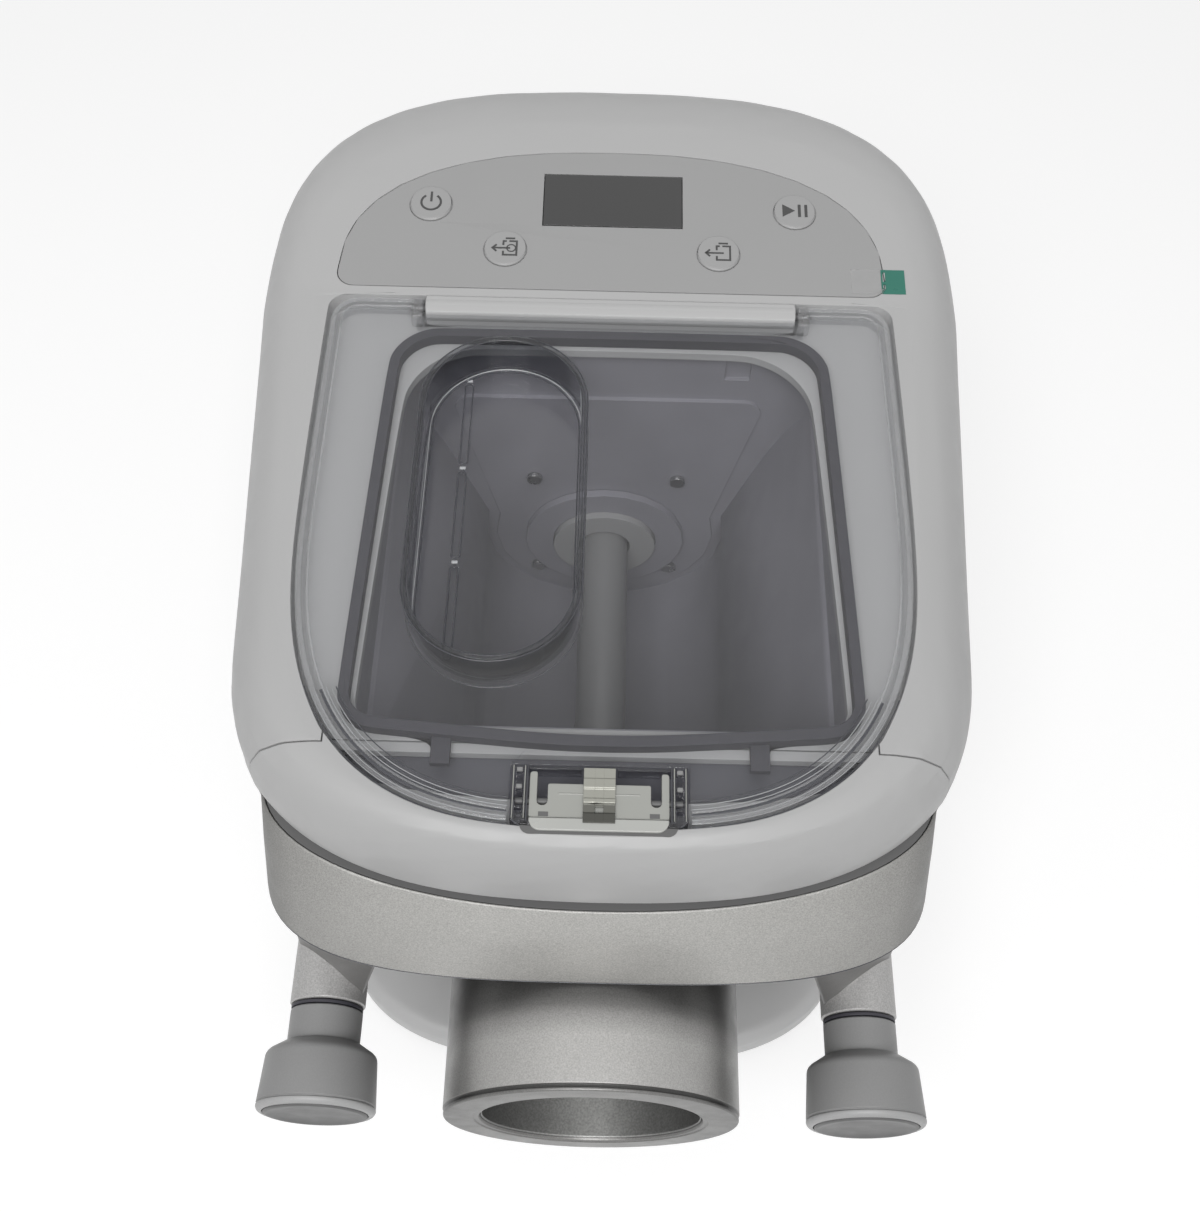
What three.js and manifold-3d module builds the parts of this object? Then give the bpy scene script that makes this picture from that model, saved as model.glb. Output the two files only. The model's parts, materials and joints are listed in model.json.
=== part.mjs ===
// An electric pasta maker. Lengths are in millimetres, X is right, Y is back and Z is up from the table.
import * as THREE from "three";
import { mergeVertices } from "three/addons/utils/BufferGeometryUtils.js";
import Module from "manifold-3d";

const wasm = await Module();
wasm.setup();

// Clearances shared by all pieces
const FIT_GAP = 0.3;
const MOVING_GAP = 0.6;
const SEAM_GAP = 0.4;
const OVERRUN = 4;

// Body outline, seen from above: two half superellipses, the front one narrower, joined by straight sides
const BODY_HALF_WIDTH = 112.4;
const FRONT_NARROWING = 8.6;
const FRONT_POWER = 2.6;
const BACK_POWER = 2.9;
const FRONT_REACH = 73.4;
const BACK_CENTRE_Y = 67.5;
const BACK_REACH = 94.5;
const BODY_WALL = 3;
const CROWN_HEIGHT = 24;
const CROWN_INSET_SIDE = 18;
const CROWN_INSET_FRONT = 7.5;
const CROWN_INSET_BACK = 30;
const DECK_SLOPE = THREE.MathUtils.degToRad(5);
const FRONT_CENTRE_SETBACK = 63.5;
const SEAM_SETBACK = 25.5;
const SEAM_STEP = 3.7;
const SEAM_STEP_X = 71;
const HOOD_HEIGHT = 28;
const UPPER_DROP = 54;

// Lid recess, lid and hinge
const RECESS_DEPTH = 7;
const RECESS_GAP = 0.8;
const RECESS_CORNER = 6;
const LID_HALF_WIDTH = 85.8;
const LID_CURVE_Y = -8;
const LID_FRONT_REACH = 105.5;
const LID_POWER = 3;
const LID_BACK_Y = 58.8;
const LID_CORNER = 9;
const LID_THICKNESS = 2.5;
const LID_RIM_WALL = 2.2;
const LID_RIM_LIFT = 1.4;
const LID_EDGE = 1;
const NOTCH_WALL = 1.7;
const HINGE_SETBACK = 2.8;
const HINGE_DEPTH = 2;
const HINGE_RADIUS = 3.6;
const HINGE_HALF_SPAN = 56.6;
const HINGE_PIN_RADIUS = 1.2;
const HINGE_PIN_REACH = 8;

// Openings under the lid
const OPENING_BACK_Y = 45;
const OPENING_FRONT_SETBACK = 4.5;
const OPENING_HALF_BACK = 61;
const OPENING_HALF_FRONT = 65.5;
const OPENING_BACK_CORNER = 24;
const OPENING_FRONT_CORNER = 8;
const SILL_HALF_WIDTH = 67.5;
const SILL_BACK_REACH = 3;
const SILL_FRONT_REACH = 16;
const SILL_POWER = 2.2;
const SILL_SIDE_REACH = 6;
const SILL_LAP = 2.6;
const SILL_THICKNESS = 3;

// Lid gasket
const GASKET_WIDTH = 3;
const GASKET_HALF_BACK = 66.3;
const GASKET_HALF_FRONT = 69.6;
const GASKET_BACK_LAP = 4.2;
const GASKET_FRONT_LAP = 2;
const GASKET_BOW = 5.5;
const GASKET_BACK_CORNER = 16;
const GASKET_FRONT_CORNER = 11;
const GASKET_BOW_RADIUS = 300;
const LUG_X = 41.2;
const LUG_WIDTH = 5;
const LUG_REACH = 8;

// Water trough in the lid
const TROUGH_X = -30.7;
const TROUGH_WIDTH = 49.5;
const TROUGH_BACK_MARGIN = 1;
const TROUGH_FRONT_MARGIN = 15.9;
const TROUGH_DEPTH = 14;
const TROUGH_WALL = 1.6;
const GROOVE_X = -42.8;
const GROOVE_WIDTH = 2.6;
const GROOVE_DEPTH = 0.8;
const GROOVE_GAP = 3;
const GROOVE_END_ROOM = 12.6;
const GROOVE_COUNT = 3;

// Latch at the lid's front
const LATCH_HALF_WIDTH = 22.2;
const LATCH_LENGTH = 16;
const LATCH_DEPTH = 5;
const LATCH_RISE = 0.8;
const LATCH_SIDE_BAR = 4;
const LATCH_BACK_BAR = 0.9;
const LATCH_FRONT_BAR = 1.4;
const LATCH_BRIDGE_HEIGHT = 3;
const LATCH_GAP = 0.4;
const LEVER_THICKNESS = 3.6;
const LEVER_PIVOT_SETBACK = 7.2;
const LEVER_SLOT_WIDTH = 2.4;
const LEVER_SLOT_LENGTH = 8;
const LEVER_SLOT_X = 14.2;
const LATCH_PIN_RADIUS = 0.9;
const LATCH_PIN_LENGTH = 42;
const HOOK_HALF_WIDTH = 10;
const HOOK_THICKNESS = 2.2;
const HOOK_REACH = 1.5;
const HOOK_BARB_HEIGHT = 2.2;
const HOOK_SLACK = 0.5;
const HOOK_SWING = 4.8;
const HOOK_SIDE_ROOM = 1.2;
const CLIP_WIDTH = 8;
const CLIP_FRONT_SETBACK = 4;
const CLIP_THICKNESS = 0.5;
const CLIP_HUMP = 0.9;
const CLIP_HOLE_RADIUS = 1.3;
const CLIP_NOTCH_DEPTH = 3;

// Control deck, in the deck's own sloping frame from its front edge
const PANEL_HALF_WIDTH = 85;
const PANEL_FRONT = 3.4;
const PANEL_CURVE = 9;
const PANEL_BACK = 59;
const PANEL_POWER = 2.4;
const PANEL_CORNER = 5;
const PANEL_THICKNESS = 1.2;
const DISPLAY_WIDTH = 44;
const DISPLAY_LENGTH = 20.8;
const DISPLAY_CENTRE = 39;
const DISPLAY_MARGIN = 1.2;
const BUTTON_RADIUS = 6.6;
const BUTTON_OUTER_X = 58;
const BUTTON_OUTER_Y = 35.9;
const BUTTON_INNER_X = 33.5;
const BUTTON_INNER_Y = 18.6;
const BUTTON_PROUD = 0.5;
const BUTTON_DISH = 0.4;
const BUTTON_FLANGE = 1;
const BUTTON_FLANGE_THICKNESS = 0.8;
const BUTTON_TRAVEL = 0.9;
const BUTTON_STEM_RADIUS = 2;
const BUTTON_STEM_LENGTH = 2;
const BOARD_HALF_WIDTH = 72;
const BOARD_FRONT = 9;
const BOARD_BACK = 55;
const BOARD_THICKNESS = 1.6;
const POST_RADIUS = 3;
const POST_MARGIN = 6;
const TAB_SIDE_MARGIN = 19;
const TAB_WIDTH = 18.8;
const TAB_FRONT = 4.8;
const TAB_LENGTH = 9.6;
const TAB_CORNER = 1.4;
const TAB_THICKNESS = 0.4;

// Mixing chamber
const SHAFT_DROP = 112;
const CHAMBER_WALL = 3;
const CHAMBER_HALF_WIDTH = 64;
const CHAMBER_STEP_DROP = 30;
const CHAMBER_STEP = 1.4;
const CHAMBER_BACK_Y = 48;
const CHAMBER_TROUGH_RADIUS = 44;
const CHAMBER_TAPER_RISE = 12;
const CHAMBER_CORNER = 14;
const CHAMBER_FRONT_CORNER = 4;
const CHAMBER_FLANGE_LAP = 7;
const CHAMBER_FLANGE_THICKNESS = 3;
const MOUTH_HALF_TOP = 56;
const MOUTH_TOP_DROP = 50;
const MOUTH_CORNER = 12;
const BACK_PANEL_THICKNESS = 1.2;
const BACK_PANEL_HALF_WIDTH = 50;
const BACK_PANEL_RADIUS = 40;
const BACK_PANEL_DROP = 33;
const BACK_PANEL_CORNER = 6;
const SHAFT_HOLE_RADIUS = 10;
const NOTCH_X = 40.8;
const NOTCH_WIDTH = 8;
const NOTCH_HEIGHT = 9;
const NOTCH_DROP = 14;

// Seal, flange and screws on the chamber's back wall
const SEAL_RADIUS = 18.7;
const SEAL_BORE = 9.5;
const SEAL_THICKNESS = 5;
const FLANGE_RADIUS = 29;
const FLANGE_THICKNESS = 2.7;
const SCREW_RADIUS = 2.6;
const SCREW_HEAD = 1.6;
const SCREW_SHANK_RADIUS = 1.2;
const SCREW_X = 25;
const SCREW_RISE = 36;
const SCREW_FALL = 20.5;

// Mixing rod, extrusion screw and output shaft
const ROD_RADIUS = 8.6;
const ROD_FRONT_Y = -54;
const ROD_SPIGOT_RADIUS = 6;
const ROD_SPIGOT_LENGTH = 18;
const SOCKET_DEPTH = 28;
const ARM_TIP_GAP = 3.5;
const ARM_WIDTH = 9;
const ARM_THICKNESS = 5;
const ARM_FOOT_LENGTH = 18;
const ARM_FOOT_HEIGHT = 4;
const ARM_SPACING = 22;
const ARM_BACK_Y = 22;
const ARM_MIDDLE_ANGLE = THREE.MathUtils.degToRad(-90);
const ARM_SPREAD = THREE.MathUtils.degToRad(10);
const ARM_COUNT = 4;
const SCREW_HUB_RADIUS = 11;
const SCREW_START_GAP = 5;
const SCREW_FLIGHT_RADIUS = 30;
const SCREW_FLIGHT_THICKNESS = 3.4;
const SCREW_PITCH = 30;
const SCREW_NOSE_LENGTH = 5;
const SCREW_NOSE_RADIUS = 5;
const SCREW_END_SETBACK = 11;
const OUTPUT_SHAFT_RADIUS = 5;

// Front cover
const COVER_HALF_WIDTH = 96;
const COVER_TOP_GAP = 4;
const COVER_PLATE_HALF_WIDTH = 93.5;
const COVER_FACE_REACH = 18;
const COVER_WALL = 4;
const COVER_SIDE_DROP = 16;
const COVER_BOTTOM_HALF_WIDTH = 64;
const COVER_BOTTOM_RISE = 1.5;
const COVER_SIDE_ROUND = 30;
const COVER_BOTTOM_ROUND = 18;
const COVER_TOP_ROUND = 6;
const VISOR_CENTRE_REACH = 4;
const VISOR_REACH = 41.4;
const VISOR_TOP_REACH = 30.5;
const VISOR_TOP_NARROWING = 5;
const VISOR_POWER = 3.3;
const VISOR_HEIGHT = 34;
const VISOR_EDGE = 1.5;
const COVER_COLLAR = 9;
const BOSS_CORE_RADIUS = 9;
const SEAL_INNER_LAP = 1.2;
const SEAL_OUTER_LAP = 4;
const SEAL_DEPTH = 2.4;
const BARREL_RADIUS = 44;
const BARREL_BORE = 32.5;
const BARREL_LENGTH = 56;
const BARREL_EDGE = 4;
const BARREL_LIP = 1;

// Knobs, their bosses, studs and inserts
const KNOB_X = 82;
const BOSS_RADIUS = 11.5;
const BOSS_LENGTH = 24.2;
const WEB_TOP_INNER_X = 58;
const WEB_TOP_OUTER_X = 89;
const WEB_TOP_REACH = 14;
const WEB_FOOT_HALF_WIDTH = 11;
const WEB_FOOT_RISE = 4;
const WEB_ROUND = 3;
const WASHER_THICKNESS = 0.9;
const KNOB_NECK_RADIUS = 11;
const KNOB_NECK_LENGTH = 10;
const KNOB_RADIUS = 17.8;
const KNOB_LENGTH = 19.4;
const KNOB_SHOULDER = 3.5;
const KNOB_RIM_HEIGHT = 1.6;
const KNOB_RIM_WALL = 1.6;
const CAP_DOME = 0.9;
const STUD_RADIUS = 4;
const STUD_KNOB_DEPTH = 20;
const STUD_BODY_DEPTH = 16;
const INSERT_RADIUS = 7;
const INSERT_LENGTH = 18;
const INSERT_BOSS_WALL = 3;

// Lower body and feet
const BASE_FLOOR_Z = 4;
const BASE_HEIGHT = 16;
const BASE_HALF_WIDTH = 101.5;
const BASE_FRONT_REACH = 66;
const BASE_BACK_INSET = 2;
const BASE_POWER = 2.8;
const BASE_WALL = 3;
const BASE_EDGE = 5;
const BASE_PLATE_THICKNESS = 2.4;
const LOWER_INSET = 8;
const LOWER_FRONT_SETBACK = 8;
const FOOT_RADIUS = 11;
const FOOT_TOP_RADIUS = 12;
const FOOT_X = 74;
const FOOT_FRONT_REACH = 28;
const FOOT_BACK_REACH = 50.5;
const VENT_COUNT = 4;
const VENT_WIDTH = 3;
const VENT_HEIGHT = 26;
const VENT_SPACING = 9;
const VENT_FIRST_X = 18;
const VENT_DROP = 2;
const GLAND_RADIUS = 6;
const GLAND_FLANGE = 9;
const GLAND_FLANGE_THICKNESS = 2.6;
const GLAND_BORE = 3.6;

// Gear train, gearbox, motor and fan
const OUTPUT_MODULE = 2;
const MOTOR_MODULE = 1.5;
const WHEEL_TEETH = 36;
const PINION_TEETH = 12;
const GEAR_WIDTH = 8;
const GEAR_STEP = 3;
const GEAR_SIDE_GAP = 2.4;
const TOOTH_ADDENDUM_SHARE = 0.8;
const TOOTH_DEDENDUM_SHARE = 1.15;
const TOOTH_WIDTH_SHARE = 0.42;
const TOOTH_SLOPE = THREE.MathUtils.degToRad(20);
const AXLE_RADIUS = 3;
const GEARBOX_WALL = 3;
const GEARBOX_ROOM = 3;
const GEARBOX_CORNER = 20;
const BEARING_RADIUS = 11;
const BEARING_LENGTH = 5;
const MOTOR_RADIUS = 28;
const MOTOR_LENGTH = 54;
const MOTOR_EDGE = 3;
const MOTOR_CLEARANCE = 2.7;
const FAN_RADIUS = 25;
const FAN_HUB_RADIUS = 9;
const FAN_THICKNESS = 7;
const FAN_BLADES = 7;
const FAN_BLADE_THICKNESS = 2;
const FAN_BLADE_TILT = THREE.MathUtils.degToRad(35);
const FAN_GAP = 3;
const POWER_BOARD_FRONT_Y = 50;
const POWER_BOARD_LENGTH = 54;
const POWER_BOARD_RISE = 20;
const POWER_BOARD_HEIGHT = 80;
const POWER_BOARD_STANDOFF = 6;

// Counts that set how finely curves are drawn
const OUTLINE_STEPS = 18;
const CROWN_STEPS = 4;
const ARC_STEPS = 6;
const ROUND_SIDES = 24;
const SMALL_SIDES = 12;
const SCREW_STEPS_PER_TURN = 20;

// Places that follow from the sizes above
const BASE_TOP_Z = BASE_FLOOR_Z + BASE_HEIGHT;
const MOTOR_Z = BASE_TOP_Z + FIT_GAP + BODY_WALL + MOTOR_CLEARANCE + MOTOR_RADIUS;
const INTERMEDIATE_Z = MOTOR_Z + MOTOR_MODULE * (WHEEL_TEETH + PINION_TEETH) / 2;
const SHAFT_Z = INTERMEDIATE_Z + OUTPUT_MODULE * (WHEEL_TEETH + PINION_TEETH) / 2;
const LID_PLANE_Z = SHAFT_Z + SHAFT_DROP;
const UPPER_BOTTOM_Z = SHAFT_Z - UPPER_DROP;
const HOOD_BOTTOM_Z = LID_PLANE_Z - HOOD_HEIGHT;
const RECESS_FLOOR_Z = LID_PLANE_Z - RECESS_DEPTH;
const FLOOR_UNDERSIDE_Z = RECESS_FLOOR_Z - BODY_WALL;
const LID_UNDERSIDE_Z = LID_PLANE_Z - LID_THICKNESS;
const LID_FRONT_Y = LID_CURVE_Y - LID_FRONT_REACH;
const FRONT_CENTRE_Y = LID_FRONT_Y + FRONT_CENTRE_SETBACK;
const SEAM_Y = LID_FRONT_Y + SEAM_SETBACK;
const SILL_BACK_Y = SEAM_Y - SILL_BACK_REACH;
const SILL_SIDE_Y = SEAM_Y - SILL_SIDE_REACH;
const SILL_FRONT_Y = SEAM_Y - SILL_FRONT_REACH;
const OPENING_FRONT_Y = SEAM_Y + OPENING_FRONT_SETBACK;
const GASKET_FRONT_Y = OPENING_FRONT_Y - GASKET_FRONT_LAP;
const GASKET_BACK_Y = OPENING_BACK_Y + GASKET_BACK_LAP;
const TROUGH_BACK_Y = OPENING_BACK_Y - TROUGH_BACK_MARGIN;
const TROUGH_FRONT_Y = OPENING_FRONT_Y + TROUGH_FRONT_MARGIN;
const TROUGH_Y = (TROUGH_BACK_Y + TROUGH_FRONT_Y) / 2;
const TROUGH_LENGTH = TROUGH_BACK_Y - TROUGH_FRONT_Y;
const GROOVE_SPACING = (TROUGH_LENGTH - GROOVE_END_ROOM) / GROOVE_COUNT;
const GROOVE_LENGTH = GROOVE_SPACING - GROOVE_GAP;
const DECK_START_Y = LID_BACK_Y + RECESS_GAP;
const SLOPE_RISE = Math.tan(DECK_SLOPE);
const HINGE_Y = LID_BACK_Y - HINGE_SETBACK;
const HINGE_Z = LID_PLANE_Z - HINGE_DEPTH;
const NOTCH_Y = HINGE_Y - HINGE_RADIUS - MOVING_GAP;
const REAR_FRONT_Y = SEAM_Y + SEAM_GAP / 2;
const BULKHEAD_BACK_Y = REAR_FRONT_Y + BODY_WALL;
const CHAMBER_FRONT_Y = BULKHEAD_BACK_Y + FIT_GAP;
const CHAMBER_INNER_FRONT_Y = CHAMBER_FRONT_Y + CHAMBER_WALL;
const CHAMBER_STEP_Z = LID_PLANE_Z - CHAMBER_STEP_DROP;
const CHAMBER_FLANGE_TOP_Z = FLOOR_UNDERSIDE_Z - FIT_GAP;
const LATCH_FRONT_Y = LID_FRONT_Y + FIT_GAP;
const LATCH_BACK_Y = LATCH_FRONT_Y + LATCH_LENGTH;
const LEVER_PIVOT_Y = LATCH_FRONT_Y + LEVER_PIVOT_SETBACK;
const CLIP_FRONT_Y = LATCH_FRONT_Y + CLIP_FRONT_SETBACK;
const CLIP_BACK_Y = LATCH_BACK_Y - LATCH_GAP;
const ARM_LENGTH = CHAMBER_TROUGH_RADIUS - ARM_TIP_GAP;
const LEVER_HALF_WIDTH = LATCH_HALF_WIDTH - LATCH_SIDE_BAR - LATCH_GAP;
const LEVER_BACK_Y = LATCH_BACK_Y - LATCH_BACK_BAR - LATCH_GAP;
const LEVER_FRONT_Y = LATCH_FRONT_Y + LATCH_FRONT_BAR + LATCH_GAP;
const LEVER_UNDERSIDE_Z = LID_PLANE_Z - LEVER_THICKNESS;
const LEVER_PIVOT_Z = LID_PLANE_Z - LEVER_THICKNESS / 2;
const HOOK_BACK_Y = LEVER_FRONT_Y + HOOK_THICKNESS;
const HOOK_TOP_Z = FLOOR_UNDERSIDE_Z - MOVING_GAP;
const HOOK_BOTTOM_Z = HOOK_TOP_Z - HOOK_BARB_HEIGHT;
const CHAMBER_OUTER_BACK_Y = CHAMBER_BACK_Y + CHAMBER_WALL;
const BACK_PANEL_Y = CHAMBER_BACK_Y - BACK_PANEL_THICKNESS;
const SEAL_BACK_Y = BACK_PANEL_Y - FIT_GAP;
const COVER_FACE_Y = SEAM_Y - COVER_FACE_REACH;
const VISOR_CENTRE_Y = SEAM_Y - VISOR_CENTRE_REACH;
const COVER_SIDE_BOTTOM_Z = SHAFT_Z - COVER_SIDE_DROP;
const COVER_BOTTOM_Z = UPPER_BOTTOM_Z + COVER_BOTTOM_RISE;
const BARREL_END_Y = COVER_FACE_Y - BARREL_LENGTH;
const COVER_BACK_Y = REAR_FRONT_Y - MOVING_GAP;
const SEAL_FRONT_Y = REAR_FRONT_Y - FIT_GAP - SEAL_DEPTH;
const COLLAR_BACK_Y = SEAL_FRONT_Y - FIT_GAP;
const ROD_BACK_Y = CHAMBER_OUTER_BACK_Y - FIT_GAP;
const SCREW_END_Y = BARREL_END_Y + SCREW_END_SETBACK;
const COVER_TOP_Z = HOOD_BOTTOM_Z - COVER_TOP_GAP;
const VISOR_BOTTOM_Z = COVER_TOP_Z - VISOR_HEIGHT;
const BOSS_END_Y = COVER_FACE_Y - BOSS_LENGTH;
const WASHER_FRONT_Y = BOSS_END_Y - FIT_GAP - WASHER_THICKNESS;
const KNOB_START_Y = WASHER_FRONT_Y - FIT_GAP;
const KNOB_END_Y = KNOB_START_Y - KNOB_NECK_LENGTH - KNOB_LENGTH;
const INSERT_END_Y = REAR_FRONT_Y + INSERT_LENGTH;
const LOWER_FRONT_Y = SEAM_Y + LOWER_FRONT_SETBACK;
const LOWER_BACK_Y = BACK_CENTRE_Y + BACK_REACH - LOWER_INSET;
const FOOT_FRONT_Y = FRONT_CENTRE_Y - FOOT_FRONT_REACH;
const FOOT_BACK_Y = BACK_CENTRE_Y + FOOT_BACK_REACH;
const VENT_CENTRE_Z = MOTOR_Z - VENT_DROP;
const POWER_BOARD_BOTTOM_Z = UPPER_BOTTOM_Z + POWER_BOARD_RISE;
const GEARBOX_FRONT_Y = CHAMBER_OUTER_BACK_Y + FIT_GAP;
const GEARS_FRONT_Y = GEARBOX_FRONT_Y + GEARBOX_WALL + GEAR_SIDE_GAP;
const GEARS_BACK_Y = GEARS_FRONT_Y + 2 * GEAR_WIDTH + GEAR_STEP;
const GEARBOX_BACK_Y = GEARS_BACK_Y + GEAR_SIDE_GAP;
const GEARBOX_COVER_Y = GEARBOX_BACK_Y + FIT_GAP;
const MOTOR_FRONT_Y = GEARBOX_COVER_Y + GEARBOX_WALL + FIT_GAP;
const MOTOR_BACK_Y = MOTOR_FRONT_Y + MOTOR_LENGTH;
const FAN_FRONT_Y = MOTOR_BACK_Y + FAN_GAP;
const SECOND_GEARS_Y = GEARS_FRONT_Y + GEAR_WIDTH + GEAR_STEP;
const DECK_UNDERSIDE = -BODY_WALL;
const POCKET_DEPTH = PANEL_THICKNESS + FIT_GAP;
const BUTTON_FLANGE_TOP = DECK_UNDERSIDE - MOVING_GAP;
const BUTTON_STEM_END = BUTTON_FLANGE_TOP - BUTTON_FLANGE_THICKNESS - BUTTON_STEM_LENGTH;
const BOARD_TOP = BUTTON_STEM_END - BUTTON_TRAVEL - FIT_GAP;

// Turns a closed geometry into a solid, with its faces pointing out
function solidOf(geometry) {
  geometry.deleteAttribute("normal");
  geometry.deleteAttribute("uv");
  const merged = mergeVertices(geometry);
  const places = merged.getAttribute("position").array;
  const corners = merged.index.array;
  const triangles = [];
  let volume = 0;
  const at = (k) => new THREE.Vector3().fromArray(places, 3 * k);
  for (let i = 0; i < corners.length; i += 3) {
    const [a, b, c] = corners.slice(i, i + 3);
    if (a !== b && b !== c && c !== a) {
      triangles.push([a, b, c]);
      volume += at(a).dot(at(b).cross(at(c)));
    }
  }
  const facing = volume < 0 ? triangles.map(([a, b, c]) => [a, c, b]) : triangles;
  const mesh = new wasm.Mesh({
    numProp: 3,
    vertProperties: Float32Array.from(places),
    triVerts: Uint32Array.from(facing.flat()),
  });
  return new wasm.Manifold(mesh);
}

// Turns a solid back into a geometry for its mesh
function geometryOf(solid) {
  const mesh = solid.getMesh();
  const geometry = new THREE.BufferGeometry();
  geometry.setAttribute("position", new THREE.BufferAttribute(Float32Array.from(mesh.vertProperties), 3));
  geometry.setIndex(new THREE.BufferAttribute(Uint32Array.from(mesh.triVerts), 1));
  geometry.computeVertexNormals();
  return geometry;
}

const join = (solids) => solids.reduce((whole, next) => whole.add(next));
const cut = (solid, ...tools) => tools.reduce((rest, tool) => rest.subtract(tool), solid);

// Closed outlines, as lists of points
function arc(x, y, radius, start, end, steps = ARC_STEPS) {
  const points = [];
  for (let i = 0; i <= steps; i++) {
    const angle = start + (end - start) * i / steps;
    points.push([x + radius * Math.cos(angle), y + radius * Math.sin(angle)]);
  }
  return points;
}

function superArc(centreY, halfWidth, reach, power, start, end) {
  const bend = (value) => Math.sign(value) * Math.abs(value) ** (2 / power);
  const points = [];
  for (let i = 0; i <= OUTLINE_STEPS; i++) {
    const angle = start + (end - start) * i / OUTLINE_STEPS;
    points.push([halfWidth * bend(Math.cos(angle)), centreY + reach * bend(Math.sin(angle))]);
  }
  return points;
}

// A polygon with each corner [x, y, radius] rounded
function roundedOutline(corners, steps = ARC_STEPS) {
  const points = [];
  corners.forEach(([x, y, radius], i) => {
    const here = new THREE.Vector2(x, y);
    const before = new THREE.Vector2(...corners.at(i - 1).slice(0, 2)).sub(here).normalize();
    const after = new THREE.Vector2(...corners[(i + 1) % corners.length].slice(0, 2)).sub(here).normalize();
    const half = Math.acos(THREE.MathUtils.clamp(before.dot(after), -1, 1)) / 2;
    const bisector = before.clone().add(after).normalize();
    const centre = here.clone().addScaledVector(bisector, radius / Math.sin(half));
    const from = here.clone().addScaledVector(before, radius / Math.tan(half)).sub(centre).angle();
    const to = here.clone().addScaledVector(after, radius / Math.tan(half)).sub(centre).angle();
    let sweep = to - from;
    sweep -= 2 * Math.PI * Math.round(sweep / (2 * Math.PI));
    points.push(...arc(centre.x, centre.y, radius, from, from + sweep, steps));
  });
  return points;
}

function circle(x, y, radius, sides = ROUND_SIDES) {
  return arc(x, y, radius, 0, 2 * Math.PI, sides).slice(0, -1);
}

function rectangle(left, right, low, high) {
  return [[left, low], [right, low], [right, high], [left, high]];
}

// Prisms of an outline along each axis, and turned solids about each axis
function extruded(outline, length) {
  const shape = new THREE.Shape(outline.map(([x, y]) => new THREE.Vector2(x, y)));
  return new THREE.ExtrudeGeometry(shape, { depth: length, bevelEnabled: false });
}

function prismZ(outline, bottom, top) {
  return solidOf(extruded(outline, top - bottom).translate(0, 0, bottom));
}

function prismY(outline, front, back) {
  return solidOf(extruded(outline, back - front).rotateX(Math.PI / 2).translate(0, back, 0));
}

function prismX(outline, left, right) {
  const turned = extruded(outline, right - left).rotateZ(Math.PI / 2).rotateY(Math.PI / 2);
  return solidOf(turned.translate(left, 0, 0));
}

function block(left, right, front, back, bottom, top) {
  const box = new THREE.BoxGeometry(right - left, back - front, top - bottom);
  return solidOf(box.translate((left + right) / 2, (front + back) / 2, (bottom + top) / 2));
}

function lathe(profile, sides) {
  return new THREE.LatheGeometry(profile.map(([radius, along]) => new THREE.Vector2(radius, along)), sides);
}

function turnedY(profile, x = 0, z = 0, sides = ROUND_SIDES) {
  return solidOf(lathe(profile, sides).translate(x, 0, z));
}

function turnedZ(profile, x = 0, y = 0, sides = ROUND_SIDES) {
  return solidOf(lathe(profile, sides).rotateX(Math.PI / 2).translate(x, y, 0));
}

function turnedX(profile, y = 0, z = 0, sides = ROUND_SIDES) {
  return solidOf(lathe(profile, sides).rotateZ(-Math.PI / 2).translate(0, y, z));
}

const rod = (radius, from, to) => [[0, from], [radius, from], [radius, to], [0, to]];

function tube(radius, bore, from, to) {
  return [[bore, from], [radius, from], [radius, to], [bore, to], [bore, from]];
}

// Skins a stack of rings with the same number of points, closed by the caps' triangles at both ends
function skin(rings, caps) {
  const count = rings[0].length;
  const top = (rings.length - 1) * count;
  const faces = caps.flatMap(([a, b, c]) => [a, c, b, top + a, top + b, top + c]);
  for (let k = 0; k + 1 < rings.length; k++) {
    for (let i = 0; i < count; i++) {
      const next = (i + 1) % count;
      const [a, b] = [k * count + i, k * count + next];
      faces.push(a, b, b + count, a, b + count, a + count);
    }
  }
  const geometry = new THREE.BufferGeometry();
  geometry.setAttribute("position", new THREE.Float32BufferAttribute(rings.flat(2), 3));
  geometry.setIndex(faces);
  return solidOf(geometry);
}

function loft(rings) {
  const flat = rings[0].map(([x, y]) => new THREE.Vector2(x, y));
  return skin(rings, THREE.ShapeUtils.triangulateShape(flat, []));
}

const ringAt = (outline, z) => outline.map(([x, y]) => [x, y, z]);

// Body: a prism whose top edge is rounded, level at the lid and sloping up behind it
function bodyOutline(inset, sideInset = 0, frontInset = 0, backInset = 0) {
  const halfWidth = BODY_HALF_WIDTH - inset - sideInset;
  const front = FRONT_REACH - inset - frontInset;
  const back = BACK_REACH - inset - backInset;
  return [
    ...superArc(FRONT_CENTRE_Y, halfWidth - FRONT_NARROWING, front, FRONT_POWER, Math.PI, 2 * Math.PI),
    ...superArc(BACK_CENTRE_Y, halfWidth, back, BACK_POWER, 0, Math.PI),
  ];
}

function crownedBody(inset, bottom, slope) {
  const rings = [ringAt(bodyOutline(inset), bottom)];
  for (let k = 0; k <= CROWN_STEPS; k++) {
    const angle = Math.PI / 2 * k / CROWN_STEPS;
    const share = 1 - Math.cos(angle);
    const insets = [CROWN_INSET_SIDE, CROWN_INSET_FRONT, CROWN_INSET_BACK].map((size) => size * share);
    const level = LID_PLANE_Z - inset - CROWN_HEIGHT * (1 - Math.sin(angle));
    rings.push(bodyOutline(inset, ...insets).map(([x, y]) => [x, y, level + slope * (y - DECK_START_Y)]));
  }
  return loft(rings);
}

const beyond = BODY_HALF_WIDTH + BACK_REACH + BACK_CENTRE_Y;
const everything = (front, back) => block(-beyond, beyond, front, back, -beyond, LID_PLANE_Z + beyond);

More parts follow.
